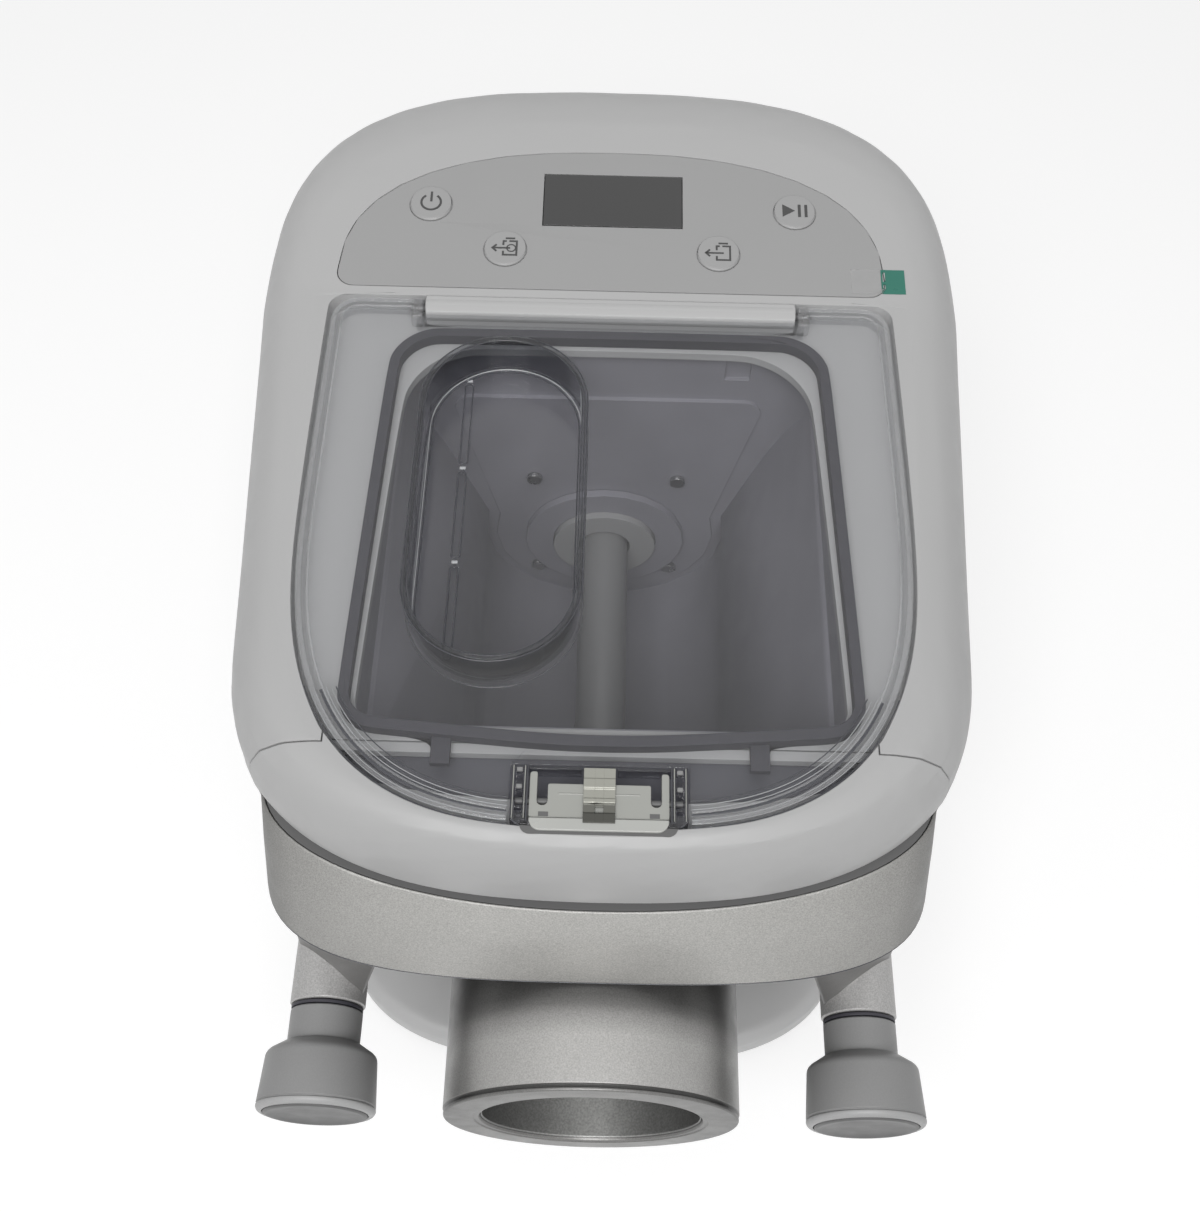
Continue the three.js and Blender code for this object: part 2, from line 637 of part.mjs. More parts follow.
function bodySolid(inset, bottom) {
  const level = crownedBody(inset, bottom, 0).intersect(everything(-beyond, DECK_START_Y));
  const sloping = crownedBody(inset, bottom, SLOPE_RISE).intersect(everything(DECK_START_Y, beyond));
  return level.add(sloping);
}

function lidOutline(offset, corner = LID_CORNER + offset) {
  const halfWidth = LID_HALF_WIDTH + offset;
  const [side, back] = [halfWidth - corner, LID_BACK_Y + offset - corner];
  return [
    ...superArc(LID_CURVE_Y, halfWidth, LID_FRONT_REACH + offset, LID_POWER, Math.PI, 2 * Math.PI),
    ...arc(side, back, corner, 0, Math.PI / 2),
    ...arc(-side, back, corner, Math.PI / 2, Math.PI),
  ];
}

// The recess has tighter back corners than the lid, which swings back into them as it opens
function recess(wall) {
  const outline = lidOutline(RECESS_GAP + wall, RECESS_CORNER + wall);
  return prismZ(outline, RECESS_FLOOR_Z - wall, LID_PLANE_Z + OVERRUN);
}

function openingOutline(offset) {
  return roundedOutline([
    [OPENING_HALF_FRONT + offset, OPENING_FRONT_Y - offset, OPENING_FRONT_CORNER],
    [OPENING_HALF_BACK + offset, OPENING_BACK_Y + offset, OPENING_BACK_CORNER + offset],
    [-OPENING_HALF_BACK - offset, OPENING_BACK_Y + offset, OPENING_BACK_CORNER + offset],
    [-OPENING_HALF_FRONT - offset, OPENING_FRONT_Y - offset, OPENING_FRONT_CORNER],
  ]);
}

// The crescent in front of the gasket: straight behind and bowed in front
function crescentOutline(offset, back) {
  const half = SILL_HALF_WIDTH + offset;
  const reach = SILL_SIDE_Y - SILL_FRONT_Y + offset;
  const bow = superArc(SILL_SIDE_Y, half, reach, SILL_POWER, Math.PI, 2 * Math.PI);
  return [...bow, [half, back], [-half, back]];
}

// Features on the control deck, drawn in the deck's own frame
const onDeck = (geometry) => geometry.rotateX(DECK_SLOPE).translate(0, DECK_START_Y, LID_PLANE_Z);

function deckPrism(outline, bottom, top) {
  return solidOf(onDeck(extruded(outline, top - bottom).translate(0, 0, bottom)));
}

function panelOutline(offset) {
  const halfWidth = PANEL_HALF_WIDTH + offset;
  const reach = PANEL_BACK - PANEL_CURVE + offset;
  const corner = PANEL_CORNER + offset;
  const inner = PANEL_HALF_WIDTH - PANEL_CORNER;
  return [
    ...superArc(PANEL_CURVE, halfWidth, reach, PANEL_POWER, 0, Math.PI),
    ...arc(-inner, PANEL_FRONT + PANEL_CORNER, corner, Math.PI, 3 * Math.PI / 2),
    ...arc(inner, PANEL_FRONT + PANEL_CORNER, corner, 3 * Math.PI / 2, 2 * Math.PI),
  ];
}

function displayOutline(offset) {
  const [half, reach] = [DISPLAY_WIDTH / 2 + offset, DISPLAY_LENGTH / 2 + offset];
  return rectangle(-half, half, DISPLAY_CENTRE - reach, DISPLAY_CENTRE + reach);
}

const buttonPlaces = {
  power_button: [-BUTTON_OUTER_X, BUTTON_OUTER_Y],
  automatic_button: [-BUTTON_INNER_X, BUTTON_INNER_Y],
  extrude_button: [BUTTON_INNER_X, BUTTON_INNER_Y],
  play_pause_button: [BUTTON_OUTER_X, BUTTON_OUTER_Y],
};

const postPlaces = [-1, 1].flatMap((side) => [
  [side * (BOARD_HALF_WIDTH - POST_MARGIN), BOARD_FRONT + POST_MARGIN],
  [side * (BUTTON_OUTER_X - BUTTON_RADIUS - POST_MARGIN - POST_RADIUS), BOARD_BACK - POST_RADIUS],
]);

function deckCuts() {
  const holes = Object.values(buttonPlaces).map(([x, y]) =>
    deckPrism(circle(x, y, BUTTON_RADIUS + FIT_GAP), DECK_UNDERSIDE - OVERRUN, OVERRUN));
  const pocket = deckPrism(panelOutline(FIT_GAP), -POCKET_DEPTH, OVERRUN);
  const window = deckPrism(displayOutline(DISPLAY_MARGIN), DECK_UNDERSIDE - OVERRUN, OVERRUN);
  return [pocket, window, ...holes];
}

function powerBoardPosts() {
  const inner = BODY_HALF_WIDTH - BODY_WALL;
  const reach = inner - POWER_BOARD_STANDOFF;
  const places = [POWER_BOARD_FRONT_Y + POST_MARGIN, POWER_BOARD_FRONT_Y + POWER_BOARD_LENGTH - POST_MARGIN];
  const heights = [POWER_BOARD_BOTTOM_Z + POST_MARGIN, POWER_BOARD_BOTTOM_Z + POWER_BOARD_HEIGHT - POST_MARGIN];
  return places.flatMap((y) => heights.map((z) => turnedX(rod(POST_RADIUS, -inner, -reach), y, z, SMALL_SIDES)));
}

function hingeBarrel() {
  const barrel = turnedX(rod(HINGE_RADIUS, -HINGE_HALF_SPAN, HINGE_HALF_SPAN), HINGE_Y, HINGE_Z);
  const front = HINGE_Y - HINGE_RADIUS + MOVING_GAP;
  const back = DECK_START_Y + BODY_WALL;
  const web = block(-HINGE_HALF_SPAN, HINGE_HALF_SPAN, front, back, FLOOR_UNDERSIDE_Z, HINGE_Z);
  return barrel.add(web);
}

function hingeBores() {
  const start = HINGE_HALF_SPAN - HINGE_PIN_REACH;
  const bore = rod(HINGE_PIN_RADIUS + FIT_GAP, start, HINGE_HALF_SPAN + OVERRUN);
  const mirrored = rod(HINGE_PIN_RADIUS + FIT_GAP, -HINGE_HALF_SPAN - OVERRUN, -start);
  return [bore, mirrored].map((profile) => turnedX(profile, HINGE_Y, HINGE_Z, SMALL_SIDES));
}

// A trough seen along the shaft: round below and straight sided above, with rounded top corners
function troughOutline(radius, halfTop, top, corner) {
  const low = Math.asin(CHAMBER_TAPER_RISE / radius);
  return [
    ...arc(0, SHAFT_Z, radius, Math.PI - low, 2 * Math.PI + low, 2 * ARC_STEPS),
    ...arc(halfTop - corner, top - corner, corner, 0, Math.PI / 2),
    ...arc(corner - halfTop, top - corner, corner, Math.PI / 2, Math.PI),
  ];
}

function mouthOutline(offset) {
  const top = LID_PLANE_Z - MOUTH_TOP_DROP + offset;
  return troughOutline(CHAMBER_TROUGH_RADIUS + offset, MOUTH_HALF_TOP + offset, top, MOUTH_CORNER + offset);
}

// Inside of the lower housing, which also opens the upper housing's floor
function lowerOutlineSolid(inset, bottom, top) {
  const front = LOWER_FRONT_Y + inset - LOWER_INSET;
  return prismZ(bodyOutline(inset), bottom, top).intersect(everything(front, beyond));
}

// The seam steps forward in the crown's sides, beyond the recess floor's opening
function seamSteps(offset) {
  const [inner, front] = [SEAM_STEP_X + offset, SEAM_Y - SEAM_STEP + offset];
  return [[-beyond, -inner], [inner, beyond]].map(([left, right]) =>
    block(left, right, front, SEAM_Y + OVERRUN, HOOD_BOTTOM_Z, LID_PLANE_Z + OVERRUN));
}

function rearHousing() {
  const floorTop = UPPER_BOTTOM_Z + BODY_WALL;
  const doorway = lowerOutlineSolid(LOWER_INSET + BODY_WALL, UPPER_BOTTOM_Z - OVERRUN, floorTop + OVERRUN);
  const inside = cut(bodySolid(BODY_WALL, floorTop), everything(-beyond, BULKHEAD_BACK_Y)).add(doorway);
  const hollow = cut(inside, recess(BODY_WALL));
  const before = cut(everything(-beyond, REAR_FRONT_Y), ...seamSteps(SEAM_GAP / 2));
  const shell = cut(bodySolid(0, UPPER_BOTTOM_Z), recess(0), before, hollow);
  const bossRadius = INSERT_RADIUS + INSERT_BOSS_WALL;
  const bosses = [-KNOB_X, KNOB_X].map((x) => turnedY(rod(bossRadius, REAR_FRONT_Y, INSERT_END_Y), x, SHAFT_Z));
  const bores = [-KNOB_X, KNOB_X].map((x) =>
    turnedY(rod(INSERT_RADIUS + FIT_GAP, REAR_FRONT_Y - OVERRUN, INSERT_END_Y + OVERRUN), x, SHAFT_Z));
  const posts = postPlaces.map(([x, y]) =>
    deckPrism(circle(x, y, POST_RADIUS, SMALL_SIDES), BOARD_TOP + FIT_GAP, -POCKET_DEPTH - FIT_GAP));
  const whole = join([shell, ...bosses, ...posts, ...powerBoardPosts(), hingeBarrel()]);
  const opening = prismZ(openingOutline(0), FLOOR_UNDERSIDE_Z - OVERRUN, RECESS_FLOOR_Z + OVERRUN);
  const mouth = prismY(mouthOutline(0), REAR_FRONT_Y - OVERRUN, BULKHEAD_BACK_Y + OVERRUN);
  return cut(whole, opening, mouth, ...bores, ...hingeBores(), ...deckCuts());
}

// Light hood round the lid's front, with the crescent opening and the slot that the hook drops into
function hookSlot() {
  const half = HOOK_HALF_WIDTH + HOOK_SIDE_ROOM;
  const [front, back] = [LEVER_FRONT_Y - HOOK_SWING, HOOK_BACK_Y + HOOK_SLACK];
  return block(-half, half, front, back, FLOOR_UNDERSIDE_Z - OVERRUN, RECESS_FLOOR_Z);
}

function frontFrame() {
  const hollow = cut(crownedBody(BODY_WALL, HOOD_BOTTOM_Z - OVERRUN, 0), recess(BODY_WALL));
  const behind = everything(SEAM_Y - SEAM_GAP / 2, beyond);
  const shell = cut(crownedBody(0, HOOD_BOTTOM_Z, 0), recess(0), behind, ...seamSteps(-SEAM_GAP / 2), hollow);
  const crescent = crescentOutline(0, SILL_BACK_Y);
  return cut(shell, prismZ(crescent, FLOOR_UNDERSIDE_Z - OVERRUN, RECESS_FLOOR_Z + OVERRUN), hookSlot());
}

function frontSill() {
  const top = FLOOR_UNDERSIDE_Z - FIT_GAP;
  return prismZ(crescentOutline(SILL_LAP, SEAM_Y - SEAM_GAP), top - SILL_THICKNESS, top);
}

// Lid, with its rim wall, hinge notch, latch gap and water trough
function stadium(inset) {
  const radius = TROUGH_WIDTH / 2 - inset;
  const reach = (TROUGH_LENGTH - TROUGH_WIDTH) / 2;
  return [
    ...arc(TROUGH_X, TROUGH_Y + reach, radius, 0, Math.PI, 2 * ARC_STEPS),
    ...arc(TROUGH_X, TROUGH_Y - reach, radius, Math.PI, 2 * Math.PI, 2 * ARC_STEPS),
  ];
}

function troughGrooves(floor) {
  const [left, right] = [GROOVE_X - GROOVE_WIDTH / 2, GROOVE_X + GROOVE_WIDTH / 2];
  return Array.from({ length: GROOVE_COUNT }, (_, k) => {
    const middle = TROUGH_Y + (k - (GROOVE_COUNT - 1) / 2) * GROOVE_SPACING;
    const [low, high] = [middle - GROOVE_LENGTH / 2, middle + GROOVE_LENGTH / 2];
    return block(left, right, low, high, floor - GROOVE_DEPTH, floor + OVERRUN);
  });
}

function lidPinHole(side) {
  const inner = HINGE_HALF_SPAN + MOVING_GAP - LID_RIM_WALL;
  const outer = HINGE_HALF_SPAN + MOVING_GAP + 2 * LID_RIM_WALL;
  const [from, to] = side < 0 ? [-outer, -inner] : [inner, outer];
  return turnedX(rod(HINGE_PIN_RADIUS + FIT_GAP, from, to), HINGE_Y, HINGE_Z, SMALL_SIDES);
}

function lidShell() {
  const rimBottom = RECESS_FLOOR_Z + LID_RIM_LIFT;
  const above = LID_PLANE_Z + OVERRUN;
  const outside = loft([
    ringAt(lidOutline(0), rimBottom),
    ringAt(lidOutline(0), LID_PLANE_Z - LID_EDGE),
    ringAt(lidOutline(-LID_EDGE), LID_PLANE_Z),
  ]);
  const hollow = prismZ(lidOutline(-LID_RIM_WALL), rimBottom - OVERRUN, LID_UNDERSIDE_Z);
  const half = HINGE_HALF_SPAN + MOVING_GAP;
  const wallHalf = half + LID_RIM_WALL;
  const notch = block(-half, half, NOTCH_Y, LID_BACK_Y + OVERRUN, rimBottom - OVERRUN, above);
  const notchWallTop = LID_PLANE_Z - LID_EDGE;
  const notchWall = block(-wallHalf, wallHalf, NOTCH_Y - NOTCH_WALL, LID_BACK_Y, rimBottom, notchWallTop);
  const latchHalf = LATCH_HALF_WIDTH + LATCH_GAP;
  const latchBack = LATCH_BACK_Y + LATCH_GAP;
  const latchGap = block(-latchHalf, latchHalf, LATCH_FRONT_Y - OVERRUN, latchBack, rimBottom - OVERRUN, above);
  const troughFloor = LID_PLANE_Z - TROUGH_DEPTH;
  const trough = prismZ(stadium(0), troughFloor - TROUGH_WALL, LID_PLANE_Z);
  const water = prismZ(stadium(TROUGH_WALL), troughFloor, above);
  const whole = join([cut(outside, hollow), notchWall, trough]);
  return cut(whole, notch, latchGap, water, ...troughGrooves(troughFloor), lidPinHole(-1), lidPinHole(1));
}

function hingePin(side) {
  const start = HINGE_HALF_SPAN - HINGE_PIN_REACH + FIT_GAP;
  const end = HINGE_HALF_SPAN + MOVING_GAP + LID_RIM_WALL;
  const [from, to] = side < 0 ? [-end, -start] : [start, end];
  return turnedX(rod(HINGE_PIN_RADIUS, from, to), HINGE_Y, HINGE_Z, SMALL_SIDES);
}

function gasketOutline(inset) {
  const [back, front] = [GASKET_HALF_BACK - inset, GASKET_HALF_FRONT - inset];
  const frontY = GASKET_FRONT_Y + inset;
  return roundedOutline([
    [0, frontY - GASKET_BOW, GASKET_BOW_RADIUS],
    [front, frontY, GASKET_FRONT_CORNER - inset],
    [back, GASKET_BACK_Y - inset, GASKET_BACK_CORNER - inset],
    [-back, GASKET_BACK_Y - inset, GASKET_BACK_CORNER - inset],
    [-front, frontY, GASKET_FRONT_CORNER - inset],
  ]);
}

function lidGasket() {
  const [bottom, top] = [RECESS_FLOOR_Z + FIT_GAP, LID_UNDERSIDE_Z - FIT_GAP];
  const inner = prismZ(gasketOutline(GASKET_WIDTH), bottom - OVERRUN, top + OVERRUN);
  const ring = cut(prismZ(gasketOutline(0), bottom, top), inner);
  const lugBack = GASKET_FRONT_Y - GASKET_WIDTH / 2;
  const lugs = [-LUG_X, LUG_X].map((x) =>
    block(x - LUG_WIDTH / 2, x + LUG_WIDTH / 2, lugBack - LUG_REACH, lugBack, bottom, (bottom + top) / 2));
  return join([ring, ...lugs]);
}

// Latch: a frame on the lid, a rocking lever with a hook, its spring clip and its pin
function latchFrame() {
  const [bottom, top] = [LID_PLANE_Z - LATCH_DEPTH, LID_PLANE_Z + LATCH_RISE];
  const frame = block(-LATCH_HALF_WIDTH, LATCH_HALF_WIDTH, LATCH_FRONT_Y, LATCH_BACK_Y, bottom, top);
  const half = LEVER_HALF_WIDTH + LATCH_GAP;
  const front = LEVER_FRONT_Y - LATCH_GAP;
  const window = block(-half, half, front, LEVER_BACK_Y + LATCH_GAP, bottom - OVERRUN, top + OVERRUN);
  const notchHalf = CLIP_WIDTH / 2 + LATCH_GAP;
  const notchBottom = LID_PLANE_Z - CLIP_NOTCH_DEPTH;
  const notch = block(-notchHalf, notchHalf, LEVER_BACK_Y, LATCH_BACK_Y + OVERRUN, notchBottom, top + OVERRUN);
  const roomHalf = HOOK_HALF_WIDTH + HOOK_SIDE_ROOM;
  const roomTop = top - LATCH_BRIDGE_HEIGHT;
  const [roomFront, roomBack] = [LATCH_FRONT_Y - OVERRUN, front + OVERRUN];
  const hookRoom = block(-roomHalf, roomHalf, roomFront, roomBack, bottom - OVERRUN, roomTop);
  const reach = LATCH_PIN_LENGTH / 2 + FIT_GAP;
  const bore = turnedX(rod(LATCH_PIN_RADIUS + FIT_GAP, -reach, reach), LEVER_PIVOT_Y, LEVER_PIVOT_Z, SMALL_SIDES);
  return cut(frame, window, notch, hookRoom, bore);
}

function latchPin() {
  const reach = LATCH_PIN_LENGTH / 2;
  return turnedX(rod(LATCH_PIN_RADIUS, -reach, reach), LEVER_PIVOT_Y, LEVER_PIVOT_Z, SMALL_SIDES);
}

function latchLever() {
  const half = LEVER_HALF_WIDTH;
  const plate = block(-half, half, LEVER_FRONT_Y, LEVER_BACK_Y, LEVER_UNDERSIDE_Z, LID_PLANE_Z);
  const hook = prismX([
    [LEVER_FRONT_Y, LEVER_UNDERSIDE_Z + FIT_GAP],
    [LEVER_FRONT_Y, HOOK_BOTTOM_Z],
    [HOOK_BACK_Y, HOOK_BOTTOM_Z],
    [HOOK_BACK_Y + HOOK_REACH, HOOK_TOP_Z],
    [HOOK_BACK_Y, HOOK_TOP_Z],
    [HOOK_BACK_Y, LEVER_UNDERSIDE_Z + FIT_GAP],
  ], -HOOK_HALF_WIDTH, HOOK_HALF_WIDTH);
  const bore = turnedX(
    rod(LATCH_PIN_RADIUS + FIT_GAP, -half - OVERRUN, half + OVERRUN), LEVER_PIVOT_Y, LEVER_PIVOT_Z, SMALL_SIDES);
  const slotHalf = LEVER_SLOT_LENGTH / 2;
  const middle = (LEVER_BACK_Y + LEVER_FRONT_Y) / 2;
  const slots = [-LEVER_SLOT_X, LEVER_SLOT_X].map((x) => block(
    x - LEVER_SLOT_WIDTH / 2, x + LEVER_SLOT_WIDTH / 2, middle - slotHalf, middle + slotHalf,
    LEVER_UNDERSIDE_Z - OVERRUN, LID_PLANE_Z + OVERRUN));
  return cut(plate.add(hook), bore, ...slots);
}

function latchClip() {
  const bottom = LID_PLANE_Z + FIT_GAP;
  const [front, back] = [CLIP_FRONT_Y, CLIP_BACK_Y];
  const hump = (front + back) / 2;
  const half = CLIP_WIDTH / 2;
  const line = [
    [front, bottom], [hump - CLIP_HUMP, bottom], [hump, bottom + CLIP_HUMP], [hump + CLIP_HUMP, bottom],
    [back, bottom],
  ];
  const upper = line.map(([y, z]) => [y, z + CLIP_THICKNESS]).reverse();
  const hole = turnedZ(
    rod(CLIP_HOLE_RADIUS, bottom - OVERRUN, bottom + OVERRUN), 0, (hump + back) / 2, SMALL_SIDES);
  return cut(prismX([...line, ...upper], -half, half), hole);
}

// Control deck
function controlPanel() {
  const holes = Object.values(buttonPlaces).map(([x, y]) =>
    deckPrism(circle(x, y, BUTTON_RADIUS + FIT_GAP), -PANEL_THICKNESS - OVERRUN, OVERRUN));
  const window = deckPrism(displayOutline(FIT_GAP), -PANEL_THICKNESS - OVERRUN, OVERRUN);
  return cut(deckPrism(panelOutline(0), -PANEL_THICKNESS, 0), window, ...holes);
}

function pushButton() {
  const rim = BUTTON_RADIUS + BUTTON_FLANGE;
  return turnedZ([
    [0, BUTTON_STEM_END],
    [BUTTON_STEM_RADIUS, BUTTON_STEM_END],
    [BUTTON_STEM_RADIUS, BUTTON_FLANGE_TOP - BUTTON_FLANGE_THICKNESS],
    [rim, BUTTON_FLANGE_TOP - BUTTON_FLANGE_THICKNESS],
    [rim, BUTTON_FLANGE_TOP],
    [BUTTON_RADIUS, BUTTON_FLANGE_TOP],
    [BUTTON_RADIUS, BUTTON_PROUD - BUTTON_DISH],
    [BUTTON_RADIUS - BUTTON_DISH, BUTTON_PROUD],
    [0, BUTTON_PROUD - BUTTON_DISH],
  ]);
}

function controlBoard() {
  const outline = rectangle(-BOARD_HALF_WIDTH, BOARD_HALF_WIDTH, BOARD_FRONT, BOARD_BACK);
  return deckPrism(outline, BOARD_TOP - BOARD_THICKNESS, BOARD_TOP);
}

function pullTab() {
  const [right, back] = [BODY_HALF_WIDTH - TAB_SIDE_MARGIN, TAB_FRONT + TAB_LENGTH];
  const left = right - TAB_WIDTH;
  const outline = roundedOutline([
    [left, TAB_FRONT, TAB_CORNER], [right, TAB_FRONT, TAB_CORNER],
    [right, back, TAB_CORNER], [left, back, TAB_CORNER],
  ]);
  return deckPrism(outline, FIT_GAP, FIT_GAP + TAB_THICKNESS);
}

// Mixing chamber, screwed under the lid opening
function chamberSection(offset, top) {
  const radius = CHAMBER_TROUGH_RADIUS + offset;
  const low = Math.asin(CHAMBER_TAPER_RISE / radius);
  const half = CHAMBER_HALF_WIDTH + offset;
  const wide = half + CHAMBER_STEP;
  return [
    ...arc(0, SHAFT_Z, radius, Math.PI - low, 2 * Math.PI + low, 2 * ARC_STEPS),
    [half, CHAMBER_STEP_Z], [wide, CHAMBER_STEP_Z + CHAMBER_STEP], [wide, top],
    [-wide, top], [-wide, CHAMBER_STEP_Z + CHAMBER_STEP], [-half, CHAMBER_STEP_Z],
  ];
}

function chamberBody(offset, top) {
  const half = CHAMBER_HALF_WIDTH + CHAMBER_STEP + offset;
  const [front, back] = [CHAMBER_INNER_FRONT_Y - offset, CHAMBER_BACK_Y + offset];
  const plan = roundedOutline([
    [-half, front, CHAMBER_FRONT_CORNER], [half, front, CHAMBER_FRONT_CORNER],
    [half, back, CHAMBER_CORNER + offset], [-half, back, CHAMBER_CORNER + offset],
  ]);
  return prismY(chamberSection(offset, top), front, back).intersect(prismZ(plan, 0, top));
}

const chamberScrews = [-SCREW_X, SCREW_X].flatMap((x) => [
  [x, SHAFT_Z + SCREW_RISE],
  [x, SHAFT_Z - SCREW_FALL],
]);

function mixingChamber() {
  const flange = prismZ(
    openingOutline(CHAMBER_FLANGE_LAP), CHAMBER_FLANGE_TOP_Z - CHAMBER_FLANGE_THICKNESS, CHAMBER_FLANGE_TOP_Z);
  const outside = chamberBody(CHAMBER_WALL, CHAMBER_FLANGE_TOP_Z);
  const shell = cut(
    outside.add(flange.intersect(everything(CHAMBER_FRONT_Y, beyond))),
    chamberBody(0, CHAMBER_FLANGE_TOP_Z + OVERRUN));
  const panelTop = LID_PLANE_Z - BACK_PANEL_DROP;
  const panel = prismY(
    troughOutline(BACK_PANEL_RADIUS, BACK_PANEL_HALF_WIDTH, panelTop, BACK_PANEL_CORNER),
    BACK_PANEL_Y, CHAMBER_BACK_Y + FIT_GAP);
  const mouth = prismY(mouthOutline(0), CHAMBER_FRONT_Y - OVERRUN, CHAMBER_INNER_FRONT_Y + OVERRUN);
  const [low, high] = [BACK_PANEL_Y - OVERRUN, CHAMBER_OUTER_BACK_Y + OVERRUN];
  const shaftHole = turnedY(rod(SHAFT_HOLE_RADIUS, low, high), 0, SHAFT_Z);
  const screwHoles = chamberScrews.map(([x, z]) =>
    turnedY(rod(SCREW_SHANK_RADIUS + FIT_GAP, low, high), x, z, SMALL_SIDES));
  const notchTop = LID_PLANE_Z - NOTCH_DROP;
  const notch = block(
    NOTCH_X - NOTCH_WIDTH / 2, NOTCH_X + NOTCH_WIDTH / 2, BACK_PANEL_Y, CHAMBER_BACK_Y + BACK_PANEL_THICKNESS,
    notchTop - NOTCH_HEIGHT, notchTop);
  return cut(shell.add(panel), mouth, shaftHole, notch, ...screwHoles);
}

function chamberScrew() {
  return turnedY([
    [0, -SCREW_HEAD], [SCREW_RADIUS, -SCREW_HEAD], [SCREW_RADIUS, 0], [SCREW_SHANK_RADIUS, 0],
    [SCREW_SHANK_RADIUS, CHAMBER_WALL], [0, CHAMBER_WALL],
  ], 0, 0, SMALL_SIDES);
}

// Mixing rod with its arms, and the extrusion screw that it turns
function mixingPaddle() {
  const spigotEnd = ROD_FRONT_Y - ROD_SPIGOT_LENGTH;
  const shaft = turnedY([
    [0, spigotEnd], [ROD_SPIGOT_RADIUS, spigotEnd], [ROD_SPIGOT_RADIUS, ROD_FRONT_Y], [ROD_RADIUS, ROD_FRONT_Y],
    [ROD_RADIUS, ROD_BACK_Y], [0, ROD_BACK_Y],
  ]);
  const arms = Array.from({ length: ARM_COUNT }, (_, k) => {
    const y = ARM_BACK_Y - k * ARM_SPACING;
    const half = ARM_THICKNESS / 2;
    const strap = block(0, ARM_LENGTH, y - ARM_WIDTH / 2, y + ARM_WIDTH / 2, -half, half);
    const [front, back] = [y - ARM_FOOT_LENGTH / 2, y + ARM_FOOT_LENGTH / 2];
    const foot = block(ARM_LENGTH - ARM_FOOT_HEIGHT, ARM_LENGTH, front, back, -half, half);
    const lean = k % 2 === 0 ? -ARM_SPREAD : ARM_SPREAD;
    const degrees = THREE.MathUtils.radToDeg(ARM_MIDDLE_ANGLE + lean);
    return strap.add(foot).rotate([0, -degrees, 0]);
  });
  const socketFront = ROD_BACK_Y - SOCKET_DEPTH;
  const socket = turnedY(rod(OUTPUT_SHAFT_RADIUS + FIT_GAP, socketFront, ROD_BACK_Y + OVERRUN));
  return cut(join([shaft, ...arms]), socket).translate([0, 0, SHAFT_Z]);
}

function extrusionScrew() {
  const back = ROD_FRONT_Y - FIT_GAP;
  const noseBack = SCREW_END_Y + SCREW_NOSE_LENGTH;
  const hub = turnedY([
    [0, SCREW_END_Y], [SCREW_NOSE_RADIUS, SCREW_END_Y], [SCREW_HUB_RADIUS, noseBack], [SCREW_HUB_RADIUS, back],
    [0, back],
  ], 0, SHAFT_Z);
  const flightBack = back - SCREW_START_GAP;
  const travel = flightBack - noseBack;
  const steps = Math.round(SCREW_STEPS_PER_TURN * travel / SCREW_PITCH);
  const inner = SCREW_HUB_RADIUS - FIT_GAP;
  const rings = Array.from({ length: steps + 1 }, (_, k) => {
    const y = flightBack - travel * k / steps;
    const angle = 2 * Math.PI * (flightBack - y) / SCREW_PITCH;
    const half = SCREW_FLIGHT_THICKNESS / 2;
    const corners = [[inner, -half], [SCREW_FLIGHT_RADIUS, -half], [SCREW_FLIGHT_RADIUS, half], [inner, half]];
    return corners.map(([radius, along]) =>
      [radius * Math.cos(angle), y + along, SHAFT_Z + radius * Math.sin(angle)]);
  });
  const flight = skin(rings, [[0, 1, 2], [0, 2, 3]]);
  const boreFront = back - ROD_SPIGOT_LENGTH - FIT_GAP;
  const bore = turnedY(rod(ROD_SPIGOT_RADIUS + FIT_GAP, boreFront, back + OVERRUN), 0, SHAFT_Z);
  return cut(hub.add(flight), bore);
}

// Front cover: a hollow plate and visor, with a solid block round the bore that carries the barrel
function visorRing(z, inset) {
  const share = (z - VISOR_BOTTOM_Z) / VISOR_HEIGHT;
  const halfWidth = COVER_HALF_WIDTH - VISOR_TOP_NARROWING * share - inset;
  const reach = VISOR_REACH + (VISOR_TOP_REACH - VISOR_REACH) * share - inset;
  const bow = superArc(VISOR_CENTRE_Y, halfWidth, reach, VISOR_POWER, Math.PI, 2 * Math.PI);
  return ringAt([...bow, [halfWidth, COVER_BACK_Y], [-halfWidth, COVER_BACK_Y]], z);
}

function visor(inset) {
  const [bottom, top] = [VISOR_BOTTOM_Z + inset, COVER_TOP_Z - inset];
  return loft([
    visorRing(bottom, inset + VISOR_EDGE),
    visorRing(bottom + VISOR_EDGE / 3, inset + VISOR_EDGE / 3),
    visorRing(bottom + VISOR_EDGE, inset),
    visorRing(top - VISOR_EDGE, inset),
    visorRing(top, inset + VISOR_EDGE),
  ]);
}

function coverPlateOutline(inset) {
  const half = COVER_PLATE_HALF_WIDTH - inset;
  const bottomHalf = COVER_BOTTOM_HALF_WIDTH - inset / 2;
  const [bottom, side] = [COVER_BOTTOM_Z + inset, COVER_SIDE_BOTTOM_Z + inset / 2];
  return roundedOutline([
    [half, COVER_TOP_Z - inset, COVER_TOP_ROUND], [-half, COVER_TOP_Z - inset, COVER_TOP_ROUND],
    [-half, side, COVER_SIDE_ROUND], [-bottomHalf, bottom, COVER_BOTTOM_ROUND],
    [bottomHalf, bottom, COVER_BOTTOM_ROUND], [half, side, COVER_SIDE_ROUND],
  ]);
}

